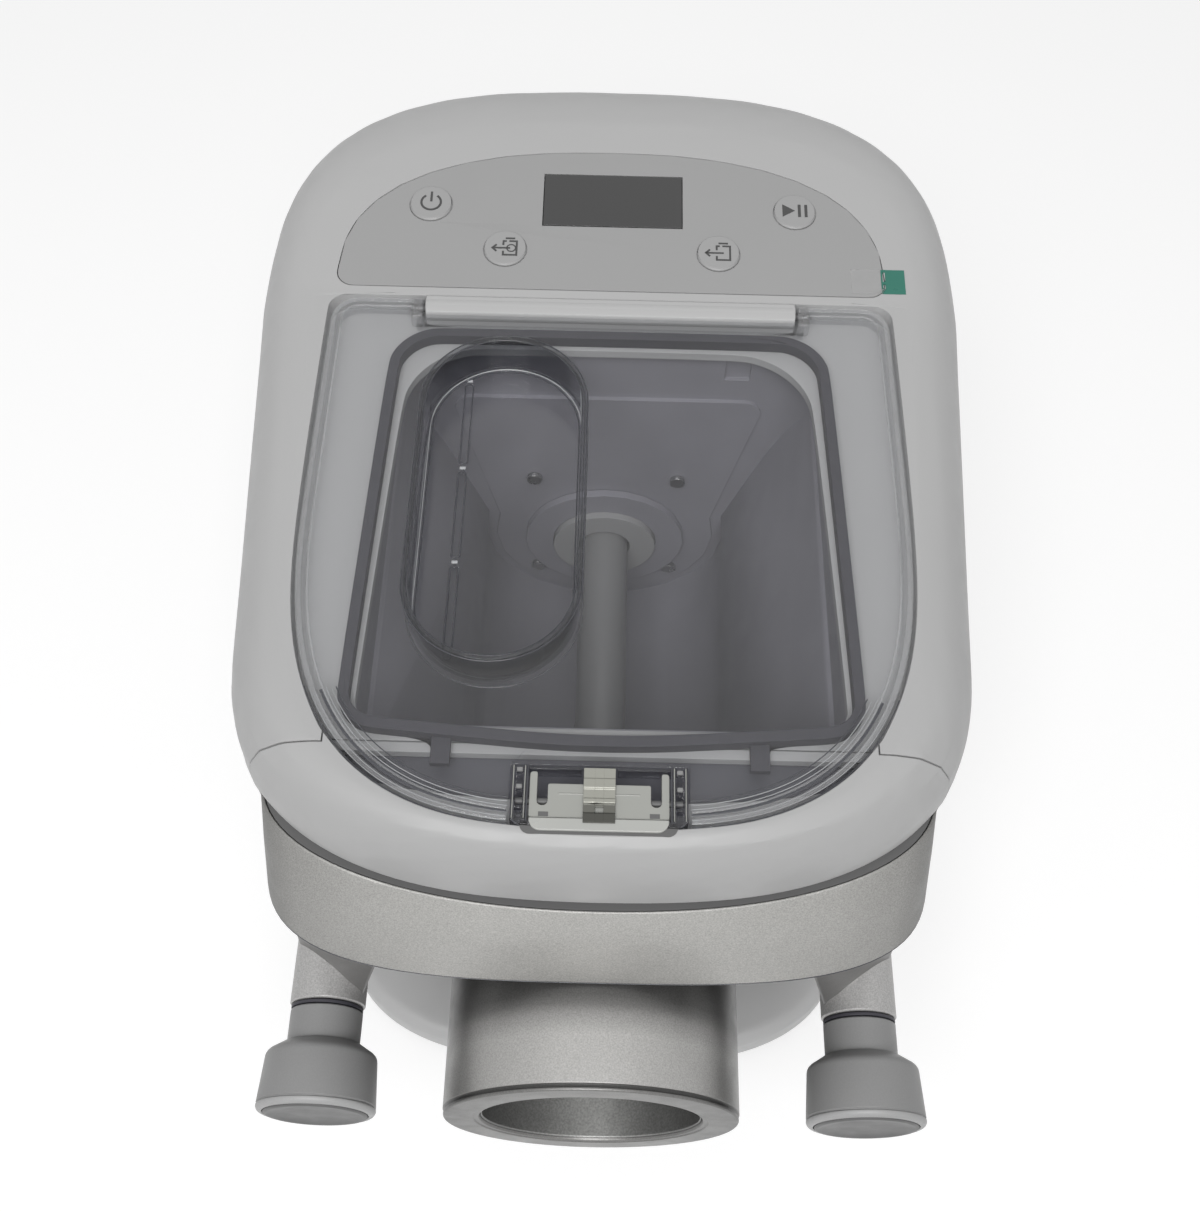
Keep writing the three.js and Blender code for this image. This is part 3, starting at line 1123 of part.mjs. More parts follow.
function bossWeb(side) {
  const ring = (left, right, reach, z) => ringAt(roundedOutline([
    [left, COVER_FACE_Y - reach, WEB_ROUND], [right, COVER_FACE_Y - reach, WEB_ROUND],
    [right, COVER_FACE_Y + COVER_WALL / 2, WEB_ROUND / 2], [left, COVER_FACE_Y + COVER_WALL / 2, WEB_ROUND / 2],
  ]), z);
  const footTop = SHAFT_Z + WEB_FOOT_RISE;
  const low = ring(KNOB_X - WEB_FOOT_HALF_WIDTH, KNOB_X + WEB_FOOT_HALF_WIDTH, BOSS_LENGTH, footTop);
  const high = ring(WEB_TOP_INNER_X, WEB_TOP_OUTER_X, WEB_TOP_REACH, VISOR_BOTTOM_Z + VISOR_EDGE);
  const web = loft([low, high]);
  return side < 0 ? web.mirror([1, 0, 0]) : web;
}

function frontCover() {
  const plate = prismY(coverPlateOutline(0), COVER_FACE_Y, COVER_BACK_Y);
  const pocket = prismY(coverPlateOutline(COVER_WALL), COVER_FACE_Y + COVER_WALL, COVER_BACK_Y + OVERRUN);
  const collar = prismY(mouthOutline(COVER_COLLAR), COVER_FACE_Y + FIT_GAP, COLLAR_BACK_Y);
  const barrel = turnedY([
    [0, BARREL_END_Y], [BARREL_RADIUS - BARREL_EDGE, BARREL_END_Y],
    ...arc(BARREL_RADIUS - BARREL_EDGE, BARREL_END_Y + BARREL_EDGE, BARREL_EDGE, -Math.PI / 2, 0).slice(1),
    [BARREL_RADIUS, COVER_FACE_Y + COVER_WALL / 2], [0, COVER_FACE_Y + COVER_WALL / 2],
  ], 0, SHAFT_Z, 2 * ROUND_SIDES);
  const knobs = [-1, 1];
  const bosses = knobs.map((side) =>
    turnedY(rod(BOSS_RADIUS, BOSS_END_Y, COVER_FACE_Y + COVER_WALL / 2), side * KNOB_X, SHAFT_Z));
  const cores = knobs.map((side) =>
    turnedY(rod(BOSS_CORE_RADIUS, COVER_FACE_Y + COVER_WALL / 2, COVER_BACK_Y), side * KNOB_X, SHAFT_Z));
  const shell = cut(plate.add(visor(0)), pocket, visor(COVER_WALL).translate([0, OVERRUN, 0]));
  const whole = join([shell, collar, barrel, ...bosses, ...cores, ...knobs.map(bossWeb)]);
  const bore = turnedY([
    [0, BARREL_END_Y - OVERRUN], [BARREL_BORE + BARREL_LIP, BARREL_END_Y - OVERRUN],
    [BARREL_BORE + BARREL_LIP, BARREL_END_Y], [BARREL_BORE, BARREL_END_Y + BARREL_LIP],
    [BARREL_BORE, COVER_BACK_Y + OVERRUN], [0, COVER_BACK_Y + OVERRUN],
  ], 0, SHAFT_Z, 2 * ROUND_SIDES);
  const studBores = knobs.map((side) =>
    turnedY(rod(STUD_RADIUS + FIT_GAP, BOSS_END_Y - OVERRUN, COVER_BACK_Y + OVERRUN), side * KNOB_X, SHAFT_Z));
  return cut(whole, bore, ...studBores);
}

function coverSeal() {
  const [front, back] = [SEAL_FRONT_Y, SEAL_FRONT_Y + SEAL_DEPTH];
  const inner = prismY(mouthOutline(SEAL_INNER_LAP), front - OVERRUN, back + OVERRUN);
  return cut(prismY(mouthOutline(SEAL_OUTER_LAP), front, back), inner);
}

// Knob, its cap, stud and washer, drawn about the stud's axis
function knobBody() {
  const neckEnd = KNOB_START_Y - KNOB_NECK_LENGTH;
  const shoulder = arc(KNOB_RADIUS - KNOB_SHOULDER, neckEnd - KNOB_SHOULDER, KNOB_SHOULDER, 0, Math.PI / 2);
  const rimInner = KNOB_RADIUS - KNOB_RIM_WALL;
  return turnedY([
    [0, KNOB_END_Y + KNOB_RIM_HEIGHT], [rimInner, KNOB_END_Y + KNOB_RIM_HEIGHT], [rimInner, KNOB_END_Y],
    [KNOB_RADIUS - KNOB_RIM_WALL / 2, KNOB_END_Y], [KNOB_RADIUS, KNOB_END_Y + KNOB_RIM_WALL / 2],
    ...shoulder, [KNOB_NECK_RADIUS, neckEnd], [KNOB_NECK_RADIUS, KNOB_START_Y],
    [STUD_RADIUS + FIT_GAP, KNOB_START_Y], [STUD_RADIUS + FIT_GAP, KNOB_START_Y - STUD_KNOB_DEPTH - FIT_GAP],
    [0, KNOB_START_Y - STUD_KNOB_DEPTH - FIT_GAP], [0, KNOB_END_Y + KNOB_RIM_HEIGHT],
  ]);
}

function knobCap() {
  const back = KNOB_END_Y + KNOB_RIM_HEIGHT - FIT_GAP;
  const radius = KNOB_RADIUS - KNOB_RIM_WALL - FIT_GAP;
  return turnedY([
    [0, KNOB_END_Y - CAP_DOME], [radius / 2, KNOB_END_Y - CAP_DOME],
    [radius - CAP_DOME, KNOB_END_Y - CAP_DOME / 2], [radius, KNOB_END_Y], [radius, back], [0, back],
  ]);
}

function knobStud() {
  return turnedY(rod(STUD_RADIUS, KNOB_START_Y - STUD_KNOB_DEPTH, REAR_FRONT_Y + STUD_BODY_DEPTH));
}

function knobWasher() {
  const washerBack = WASHER_FRONT_Y + WASHER_THICKNESS;
  return turnedY(tube(KNOB_NECK_RADIUS, STUD_RADIUS + FIT_GAP, WASHER_FRONT_Y, washerBack));
}

// Base, bottom plate, lower housing, feet and cord gland
function baseOutline(inset) {
  const half = BASE_HALF_WIDTH - inset;
  const back = BACK_REACH - BASE_BACK_INSET - inset;
  return [
    ...superArc(FRONT_CENTRE_Y, half, BASE_FRONT_REACH - inset, BASE_POWER, Math.PI, 2 * Math.PI),
    ...superArc(BACK_CENTRE_Y, half, back, BASE_POWER, 0, Math.PI),
  ];
}

function baseHousing() {
  const rings = arc(BASE_EDGE, BASE_TOP_Z - BASE_EDGE, BASE_EDGE, Math.PI, Math.PI / 2, CROWN_STEPS)
    .map(([inset, z]) => ringAt(baseOutline(inset), z));
  const outside = loft([ringAt(baseOutline(0), BASE_FLOOR_Z), ...rings]);
  return cut(outside, prismZ(baseOutline(BASE_EDGE), BASE_FLOOR_Z - OVERRUN, BASE_TOP_Z - BASE_WALL));
}

function lowerHousing() {
  const [bottom, top] = [BASE_TOP_Z + FIT_GAP, UPPER_BOTTOM_Z - FIT_GAP];
  const outside = lowerOutlineSolid(LOWER_INSET, bottom, top);
  const inside = lowerOutlineSolid(LOWER_INSET + BODY_WALL, bottom + BODY_WALL, top + OVERRUN);
  const [front, back] = [LOWER_BACK_Y - FAN_RADIUS, LOWER_BACK_Y + OVERRUN];
  const vents = [-1, 1].flatMap((side) => Array.from({ length: VENT_COUNT }, (_, k) => {
    const x = side * (VENT_FIRST_X + k * VENT_SPACING);
    const [low, high] = [VENT_CENTRE_Z - VENT_HEIGHT / 2, VENT_CENTRE_Z + VENT_HEIGHT / 2];
    return block(x - VENT_WIDTH / 2, x + VENT_WIDTH / 2, front, back, low, high);
  }));
  const glandHole = turnedY(rod(GLAND_RADIUS + FIT_GAP, front, back), 0, VENT_CENTRE_Z);
  return cut(outside, inside, glandHole, ...vents);
}

function cordGland() {
  const start = LOWER_BACK_Y - BODY_WALL;
  const shoulder = LOWER_BACK_Y + FIT_GAP;
  const end = shoulder + GLAND_FLANGE_THICKNESS;
  return turnedY([
    [GLAND_BORE, start], [GLAND_RADIUS, start], [GLAND_RADIUS, shoulder], [GLAND_FLANGE, shoulder],
    [GLAND_FLANGE, end], [GLAND_BORE, end], [GLAND_BORE, start],
  ], 0, VENT_CENTRE_Z);
}

function foot() {
  const top = BASE_FLOOR_Z - FIT_GAP;
  return turnedZ([[0, 0], [FOOT_RADIUS, 0], [FOOT_TOP_RADIUS, top], [0, top]]);
}

// Gear train: trapezoid teeth with play, drawn about the gear's own axis
function gearOutline(teeth, module, turn) {
  const pitchRadius = module * teeth / 2;
  const [root, tip] = [pitchRadius - TOOTH_DEDENDUM_SHARE * module, pitchRadius + TOOTH_ADDENDUM_SHARE * module];
  const slope = Math.tan(TOOTH_SLOPE);
  const halfAt = (radius) => (Math.PI * module * TOOTH_WIDTH_SHARE / 2 - (radius - pitchRadius) * slope) / radius;
  return Array.from({ length: teeth }, (_, k) => {
    const middle = turn + 2 * Math.PI * k / teeth;
    return [[root, -1], [tip, -1], [tip, 1], [root, 1]].map(([radius, side]) => {
      const angle = middle + side * halfAt(radius);
      return [radius * Math.cos(angle), radius * Math.sin(angle)];
    });
  }).flat();
}

const HALF_PINION_TOOTH = Math.PI / PINION_TEETH;

function outputGear() {
  const wheel = prismY(gearOutline(WHEEL_TEETH, OUTPUT_MODULE, 0), GEARS_FRONT_Y, GEARS_FRONT_Y + GEAR_WIDTH);
  const bore = rod(OUTPUT_SHAFT_RADIUS + FIT_GAP, GEARS_FRONT_Y - OVERRUN, GEARS_BACK_Y);
  return cut(wheel, turnedY(bore)).translate([0, 0, SHAFT_Z]);
}

function outputShaft() {
  const front = ROD_BACK_Y - SOCKET_DEPTH + FIT_GAP;
  return turnedY(rod(OUTPUT_SHAFT_RADIUS, front, GEARBOX_COVER_Y + GEARBOX_WALL - FIT_GAP), 0, SHAFT_Z);
}

function intermediateGear() {
  const pinion = prismY(
    gearOutline(PINION_TEETH, OUTPUT_MODULE, HALF_PINION_TOOTH), GEARS_FRONT_Y, SECOND_GEARS_Y + FIT_GAP);
  const wheel = prismY(gearOutline(WHEEL_TEETH, MOTOR_MODULE, 0), SECOND_GEARS_Y, GEARS_BACK_Y);
  const bore = turnedY(rod(AXLE_RADIUS + FIT_GAP, GEARS_FRONT_Y - OVERRUN, GEARS_BACK_Y + OVERRUN));
  return cut(pinion.add(wheel), bore).translate([0, 0, INTERMEDIATE_Z]);
}

function intermediateAxle() {
  const [front, back] = [GEARBOX_FRONT_Y + FIT_GAP, GEARBOX_COVER_Y + GEARBOX_WALL - FIT_GAP];
  return turnedY(rod(AXLE_RADIUS, front, back), 0, INTERMEDIATE_Z, SMALL_SIDES);
}

function motorPinion() {
  const gear = prismY(gearOutline(PINION_TEETH, MOTOR_MODULE, HALF_PINION_TOOTH), SECOND_GEARS_Y, GEARS_BACK_Y);
  const shaft = turnedY(rod(AXLE_RADIUS, GEARS_BACK_Y - GEAR_WIDTH, FAN_FRONT_Y + FAN_THICKNESS));
  return gear.add(shaft).translate([0, 0, MOTOR_Z]);
}

const wheelTip = OUTPUT_MODULE * (WHEEL_TEETH / 2 + TOOTH_ADDENDUM_SHARE);
const pinionTip = MOTOR_MODULE * (PINION_TEETH / 2 + TOOTH_ADDENDUM_SHARE);

function gearboxOutline(offset) {
  const half = wheelTip + GEARBOX_ROOM + offset;
  const top = SHAFT_Z + half;
  const bottom = MOTOR_Z - pinionTip - GEARBOX_ROOM - offset;
  const corner = GEARBOX_CORNER + offset;
  return roundedOutline([
    [half, top, corner], [-half, top, corner], [-half, bottom, corner], [half, bottom, corner],
  ]);
}

function gearboxHousing() {
  const outside = prismY(gearboxOutline(GEARBOX_WALL), GEARBOX_FRONT_Y, GEARBOX_BACK_Y);
  const inside = prismY(gearboxOutline(0), GEARBOX_FRONT_Y + GEARBOX_WALL, GEARBOX_BACK_Y + OVERRUN);
  const [front, back] = [GEARBOX_FRONT_Y - OVERRUN, GEARS_FRONT_Y];
  const bearingHole = turnedY(rod(BEARING_RADIUS + FIT_GAP, front, back), 0, SHAFT_Z);
  const axleHole = turnedY(rod(AXLE_RADIUS + FIT_GAP, front, back), 0, INTERMEDIATE_Z, SMALL_SIDES);
  return cut(outside, inside, bearingHole, axleHole);
}

function gearboxCover() {
  const plate = prismY(gearboxOutline(GEARBOX_WALL), GEARBOX_COVER_Y, GEARBOX_COVER_Y + GEARBOX_WALL);
  const holes = [[OUTPUT_SHAFT_RADIUS, SHAFT_Z], [AXLE_RADIUS, INTERMEDIATE_Z], [pinionTip, MOTOR_Z]].map(
    ([radius, z]) => turnedY(rod(radius + FIT_GAP, GEARBOX_BACK_Y - OVERRUN, MOTOR_FRONT_Y + OVERRUN), 0, z));
  return cut(plate, ...holes);
}

function outputBearing() {
  const back = GEARBOX_FRONT_Y + BEARING_LENGTH;
  return turnedY(tube(BEARING_RADIUS, OUTPUT_SHAFT_RADIUS + FIT_GAP, GEARBOX_FRONT_Y, back), 0, SHAFT_Z);
}

function motor() {
  const bore = AXLE_RADIUS + FIT_GAP;
  const edge = MOTOR_RADIUS - MOTOR_EDGE;
  return turnedY([
    [bore, MOTOR_FRONT_Y], [edge, MOTOR_FRONT_Y], [MOTOR_RADIUS, MOTOR_FRONT_Y + MOTOR_EDGE],
    [MOTOR_RADIUS, MOTOR_BACK_Y - MOTOR_EDGE], [edge, MOTOR_BACK_Y], [bore, MOTOR_BACK_Y], [bore, MOTOR_FRONT_Y],
  ], 0, MOTOR_Z);
}

function coolingFan() {
  const back = FAN_FRONT_Y + FAN_THICKNESS;
  const middle = (FAN_FRONT_Y + back) / 2;
  const half = FAN_THICKNESS / 2;
  const blades = Array.from({ length: FAN_BLADES }, (_, k) => {
    const blade = new THREE.BoxGeometry(FAN_RADIUS - FAN_HUB_RADIUS / 2, FAN_THICKNESS, FAN_BLADE_THICKNESS);
    blade.rotateX(FAN_BLADE_TILT).translate((FAN_RADIUS + FAN_HUB_RADIUS / 2) / 2, 0, 0);
    return solidOf(blade.rotateY(2 * Math.PI * k / FAN_BLADES).translate(0, middle, 0));
  });
  const hub = turnedY(rod(FAN_HUB_RADIUS, middle - half, middle + half));
  const bore = turnedY(rod(AXLE_RADIUS + FIT_GAP, FAN_FRONT_Y - OVERRUN, back + OVERRUN));
  return cut(join([hub, ...blades]), bore).translate([0, 0, MOTOR_Z]);
}

function powerBoard() {
  const left = POWER_BOARD_STANDOFF + BODY_WALL - BODY_HALF_WIDTH + FIT_GAP;
  return block(
    left, left + BOARD_THICKNESS, POWER_BOARD_FRONT_Y, POWER_BOARD_FRONT_Y + POWER_BOARD_LENGTH,
    POWER_BOARD_BOTTOM_Z, POWER_BOARD_BOTTOM_Z + POWER_BOARD_HEIGHT);
}

// Colours and finishes
const looks = {
  housing: { color: 0xd4d4d2, roughness: 0.35, metalness: 0 },
  panel: { color: 0xbdbebf, roughness: 0.45, metalness: 0 },
  display: { color: 0x6c7070, roughness: 0.2, metalness: 0 },
  clearPlastic: { color: 0xc4c6ca, roughness: 0.12, metalness: 0 },
  steel: { color: 0xb8b6b2, roughness: 0.3, metalness: 1 },
  silver: { color: 0xb4b1ad, roughness: 0.42, metalness: 0.6 },
  darkPlastic: { color: 0x55545a, roughness: 0.5, metalness: 0 },
  darkRubber: { color: 0x3c3c42, roughness: 0.75, metalness: 0 },
  lightRubber: { color: 0xb8b6b3, roughness: 0.7, metalness: 0 },
  knobPlastic: { color: 0xa8a6a4, roughness: 0.5, metalness: 0.1 },
  rodPlastic: { color: 0x8d8c90, roughness: 0.45, metalness: 0 },
  gearPlastic: { color: 0xd9d3c4, roughness: 0.5, metalness: 0 },
  board: { color: 0x2e6b45, roughness: 0.6, metalness: 0 },
  film: { color: 0x4f9a84, roughness: 0.25, metalness: 0 },
};

const group = new THREE.Group();
group.name = "electric_pasta_maker";

function addPiece(name, solid, look, place = [0, 0, 0], tilt = 0) {
  const mesh = new THREE.Mesh(geometryOf(solid), new THREE.MeshStandardMaterial(looks[look]));
  mesh.name = name;
  mesh.position.set(...place);
  mesh.rotation.x = tilt;
  group.add(mesh);
}

addPiece("rear_housing", rearHousing(), "housing");
addPiece("front_frame", frontFrame(), "housing");
addPiece("front_sill", frontSill(), "darkPlastic");
addPiece("lower_housing", lowerHousing(), "housing");
addPiece("base_housing", baseHousing(), "housing");
const plateOutline = baseOutline(BASE_EDGE + FIT_GAP);
addPiece("bottom_plate", prismZ(plateOutline, BASE_FLOOR_Z, BASE_FLOOR_Z + BASE_PLATE_THICKNESS), "darkPlastic");

const footPlaces = {
  foot_front_left: [-FOOT_X, FOOT_FRONT_Y],
  foot_front_right: [FOOT_X, FOOT_FRONT_Y],
  foot_back_left: [-FOOT_X, FOOT_BACK_Y],
  foot_back_right: [FOOT_X, FOOT_BACK_Y],
};
for (const [name, [x, y]] of Object.entries(footPlaces)) {
  addPiece(name, foot(), "darkRubber", [x, y, 0]);
}

addPiece("control_panel", controlPanel(), "panel");
addPiece("lcd_window", deckPrism(displayOutline(0), -PANEL_THICKNESS, 0), "display");
addPiece("lcd_module", deckPrism(displayOutline(DISPLAY_MARGIN - FIT_GAP), BOARD_TOP + FIT_GAP, -POCKET_DEPTH),
  "darkPlastic");
addPiece("control_board", controlBoard(), "board");
addPiece("film_pull_tab", pullTab(), "film");
for (const [name, [x, y]] of Object.entries(buttonPlaces)) {
  const raised = [x, DECK_START_Y + y * Math.cos(DECK_SLOPE), LID_PLANE_Z + y * Math.sin(DECK_SLOPE)];
  addPiece(name, pushButton(), "panel", raised, DECK_SLOPE);
}

addPiece("lid_shell", lidShell(), "clearPlastic");
addPiece("lid_gasket", lidGasket(), "darkRubber");
addPiece("hinge_pin_left", hingePin(-1), "steel");
addPiece("hinge_pin_right", hingePin(1), "steel");
addPiece("latch_frame", latchFrame(), "clearPlastic");
addPiece("latch_pin", latchPin(), "steel");
addPiece("latch_lever", latchLever(), "clearPlastic");
addPiece("latch_clip", latchClip(), "steel");

addPiece("mixing_chamber", mixingChamber(), "darkPlastic");
const sealProfile = tube(SEAL_RADIUS, SEAL_BORE, SEAL_BACK_Y - SEAL_THICKNESS, SEAL_BACK_Y);
addPiece("shaft_seal", turnedY(sealProfile, 0, SHAFT_Z), "lightRubber");
const flangeProfile = tube(FLANGE_RADIUS, SEAL_RADIUS + FIT_GAP, SEAL_BACK_Y - FLANGE_THICKNESS, SEAL_BACK_Y);
addPiece("seal_flange", turnedY(flangeProfile, 0, SHAFT_Z), "darkPlastic");
chamberScrews.forEach(([x, z], k) => {
  addPiece(`chamber_screw_${k + 1}`, chamberScrew(), "steel", [x, SEAL_BACK_Y, z]);
});
addPiece("mixing_paddle", mixingPaddle(), "rodPlastic");
addPiece("extrusion_screw", extrusionScrew(), "rodPlastic");

addPiece("front_cover", frontCover(), "silver");
addPiece("cover_seal", coverSeal(), "lightRubber");
for (const [side, x] of [["left", -KNOB_X], ["right", KNOB_X]]) {
  addPiece(`knob_${side}`, knobBody(), "knobPlastic", [x, 0, SHAFT_Z]);
  addPiece(`knob_cap_${side}`, knobCap(), "knobPlastic", [x, 0, SHAFT_Z]);
  addPiece(`knob_stud_${side}`, knobStud(), "steel", [x, 0, SHAFT_Z]);
  addPiece(`knob_washer_${side}`, knobWasher(), "darkRubber", [x, 0, SHAFT_Z]);
  addPiece(`stud_insert_${side}`,
    turnedY(tube(INSERT_RADIUS, STUD_RADIUS + FIT_GAP, REAR_FRONT_Y, INSERT_END_Y)), "steel", [x, 0, SHAFT_Z]);
}

addPiece("gearbox_housing", gearboxHousing(), "darkPlastic");
addPiece("gearbox_cover", gearboxCover(), "darkPlastic");
addPiece("output_bearing", outputBearing(), "steel");
addPiece("output_shaft", outputShaft(), "steel");
addPiece("output_gear", outputGear(), "gearPlastic");
addPiece("intermediate_gear", intermediateGear(), "gearPlastic");
addPiece("intermediate_axle", intermediateAxle(), "steel");
addPiece("motor_pinion", motorPinion(), "steel");
addPiece("motor", motor(), "steel");
addPiece("cooling_fan", coolingFan(), "darkPlastic");
addPiece("power_board", powerBoard(), "board");
addPiece("cord_gland", cordGland(), "darkRubber");

export default group;
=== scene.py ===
import json
import math

import bmesh
import bpy
from mathutils import Matrix, Vector
from mathutils.bvhtree import BVHTree

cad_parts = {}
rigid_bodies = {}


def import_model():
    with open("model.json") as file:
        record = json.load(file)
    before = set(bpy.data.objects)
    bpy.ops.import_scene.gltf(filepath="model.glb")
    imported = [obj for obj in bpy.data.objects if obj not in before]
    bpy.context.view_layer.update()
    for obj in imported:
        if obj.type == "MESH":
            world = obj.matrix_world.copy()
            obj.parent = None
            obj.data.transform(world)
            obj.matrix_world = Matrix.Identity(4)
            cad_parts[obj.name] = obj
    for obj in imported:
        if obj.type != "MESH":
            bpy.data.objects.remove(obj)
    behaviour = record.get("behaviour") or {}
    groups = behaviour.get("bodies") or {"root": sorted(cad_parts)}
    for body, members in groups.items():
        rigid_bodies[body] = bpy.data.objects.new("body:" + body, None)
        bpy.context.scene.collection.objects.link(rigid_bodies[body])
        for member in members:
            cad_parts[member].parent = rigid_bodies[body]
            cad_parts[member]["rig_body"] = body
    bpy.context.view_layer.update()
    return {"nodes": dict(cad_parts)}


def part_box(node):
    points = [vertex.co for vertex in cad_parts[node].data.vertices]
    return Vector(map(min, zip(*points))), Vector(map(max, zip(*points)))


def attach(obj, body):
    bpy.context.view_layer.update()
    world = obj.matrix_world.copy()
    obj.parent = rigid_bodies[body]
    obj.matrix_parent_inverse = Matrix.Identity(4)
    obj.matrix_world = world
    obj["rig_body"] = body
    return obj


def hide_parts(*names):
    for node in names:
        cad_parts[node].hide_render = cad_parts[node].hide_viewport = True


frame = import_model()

NODES = frame["nodes"]
MM = 0.001

# Node trees for materials
DRIFT_SPAN = (0.3, 0.7)
GRAIN_DEPTH = 0.00002
GLOSS_SCALE, GLOSS_LOW, GLOSS_HIGH = 140, 0.88, 1.15
COAT_ROUGHNESS = 0.12
BEVEL_SAMPLES = 6
SCHLICK_POWER = 5
GLOSS_AHEAD = 0.022
WAVE_SCALE, WAVE_DEPTH = 60, 0.00003
CLEAR_GLOSS_SCALE, CLEAR_GLOSS_LOW, CLEAR_GLOSS_HIGH = 90, 0.7, 1.4
HAZE_SCALE, HAZE_LOW, HAZE_HIGH = 24, 0.8, 1.2


def grey(value):
    """Linear colour of an sRGB grey level from 0 to 255."""
    return srgb(value, value, value)


def srgb(r, g, b):
    def linear(v):
        v /= 255
        return v / 12.92 if v <= 0.04045 else ((v + 0.055) / 1.055) ** 2.4
    return (linear(r), linear(g), linear(b), 1.0)


def scaled(color, share):
    return tuple(c * share for c in color[:3]) + (1.0,)


class Nodes:
    """Short calls for building the node tree of a material or a world."""

    def __init__(self, owner, output="ShaderNodeOutputMaterial"):
        owner.use_nodes = True
        self.owner, self.tree = owner, owner.node_tree
        self.tree.nodes.clear()
        self.out = self.add(output)

    def add(self, kind, inputs=None, **values):
        """A new node with its settings, and each input linked to another node's output or set to a value."""
        node = self.tree.nodes.new(kind)
        for key, value in values.items():
            setattr(node, key, value)
        for key, value in (inputs or {}).items():
            if isinstance(value, bpy.types.NodeSocket):
                self.tree.links.new(value, node.inputs[key])
            else:
                node.inputs[key].default_value = value
        return node

    def coordinates(self):
        return self.add("ShaderNodeTexCoord").outputs["Object"]

    def noise(self, scale, detail=3.0):
        inputs = {"Scale": scale, "Detail": detail, "Roughness": 0.55, "Vector": self.coordinates()}
        return self.add("ShaderNodeTexNoise", inputs).outputs["Fac"]

    def ramp(self, fac, stops):
        node = self.add("ShaderNodeValToRGB", {"Fac": fac})
        ramp = node.color_ramp
        while len(ramp.elements) < len(stops):
            ramp.elements.new(0.5)
        for element, (position, color) in zip(ramp.elements, stops):
            element.position = position
            element.color = color
        return node.outputs["Color"]

    def span(self, fac, low, high, start=DRIFT_SPAN[0], end=DRIFT_SPAN[1]):
        inputs = {"Value": fac, "From Min": start, "From Max": end, "To Min": low, "To Max": high}
        return self.add("ShaderNodeMapRange", inputs).outputs["Result"]

    def math(self, operation, *values):
        return self.add("ShaderNodeMath", dict(enumerate(values)), operation=operation).outputs[0]

    def tinted(self, color, factor):
        """A colour made lighter or darker by a factor that varies over the surface."""
        node = self.add("ShaderNodeVectorMath", {0: color, "Scale": factor}, operation="SCALE")
        return node.outputs["Vector"]

    def bump(self, height, distance, edge):
        """A bumpy normal, rounded over the edges to a radius unless it is 0."""
        inputs = {"Height": height, "Distance": distance}
        if edge:
            bevel = self.add("ShaderNodeBevel", {"Radius": edge}, samples=BEVEL_SAMPLES)
            inputs["Normal"] = bevel.outputs["Normal"]
        return self.add("ShaderNodeBump", inputs).outputs["Normal"]

    def principled(self, **values):
        return self.add("ShaderNodeBsdfPrincipled", {key.replace("_", " "): v for key, v in values.items()})

    def mixed(self, share, first, second):
        return self.add("ShaderNodeMixShader", {0: share, 1: first.outputs[0], 2: second.outputs[0]})

    def finish(self, shader):
        self.tree.links.new(shader.outputs[0], self.out.inputs["Surface"])
        return self.owner


def moulded(name, color, roughness, variation, grain=900, metallic=0.0, coat=0.0, edge=0.0004, specular=0.5,
            speckle=0.0, coarse=28, shade=None, axis="Y", across=None):
    """Moulded plastic, rubber, paint or satin metal, with colour drift, speckle, uneven gloss and grain.
    shade is a list of (place along the axis in metres, factor of the colour) that paints light and shade into
    the colour, and across is one along X."""
    n = Nodes(bpy.data.materials.new(name))
    tones = (scaled(color, 1 - variation), scaled(color, 1 + variation))
    base = n.ramp(n.noise(coarse), list(zip(DRIFT_SPAN, tones)))
    fine = n.noise(grain, 2)
    if speckle:
        base = n.tinted(base, n.span(fine, 1 - speckle, 1 + speckle))
    # painted light and shade: the colour is scaled by place along the axis and along X
    for way, places in ((axis, shade), ("X", across)):
        if not places:
            continue
        along = n.add("ShaderNodeSeparateXYZ", {0: n.coordinates()})
        start, end = places[0][0], places[-1][0]
        place = n.span(along.outputs[way], 0, 1, start, end)
        share = n.ramp(place, [((p - start) / (end - start), (v, v, v, 1)) for p, v in places])
        base = n.tinted(base, share)
    rough = n.span(n.noise(GLOSS_SCALE, 4), roughness * GLOSS_LOW, min(1, roughness * GLOSS_HIGH))
    normal = n.bump(fine, GRAIN_DEPTH, edge)
    return n.finish(n.principled(
        Base_Color=base, Roughness=rough, Metallic=metallic, Normal=normal, Coat_Weight=coat,
        Coat_Roughness=COAT_ROUGHNESS, Specular_IOR_Level=specular))


def clear_plastic(name, tint, haze, haze_color, roughness=0.08, edge=0.0005):
    """Thin clear plastic: it lets light through with a tint, and shines more the flatter it is seen."""
    n = Nodes(bpy.data.materials.new(name))
    normal = n.bump(n.noise(WAVE_SCALE, 2), WAVE_DEPTH, edge)
    see = n.add("ShaderNodeBsdfTransparent", {"Color": tint})
    rough = n.span(n.noise(CLEAR_GLOSS_SCALE, 3), roughness * CLEAR_GLOSS_LOW, roughness * CLEAR_GLOSS_HIGH)
    mirror = n.principled(Base_Color=grey(250), Metallic=1.0, Roughness=rough, Normal=normal)
    milk = n.principled(Base_Color=haze_color, Roughness=rough, Normal=normal, IOR=1.5)
    facing = n.add("ShaderNodeLayerWeight", {"Blend": 0.5})
    edge_on = n.math("POWER", facing.outputs["Facing"], SCHLICK_POWER)
    gloss = n.math("MULTIPLY_ADD", edge_on, 1 - GLOSS_AHEAD, GLOSS_AHEAD)
    cloud = n.span(n.noise(HAZE_SCALE, 3), haze * HAZE_LOW, haze * HAZE_HIGH)
    body = n.math("ADD", gloss, cloud)
    body.node.use_clamp = True
    surface = n.mixed(n.math("DIVIDE", cloud, body), mirror, milk)
    return n.finish(n.mixed(body, see, surface))
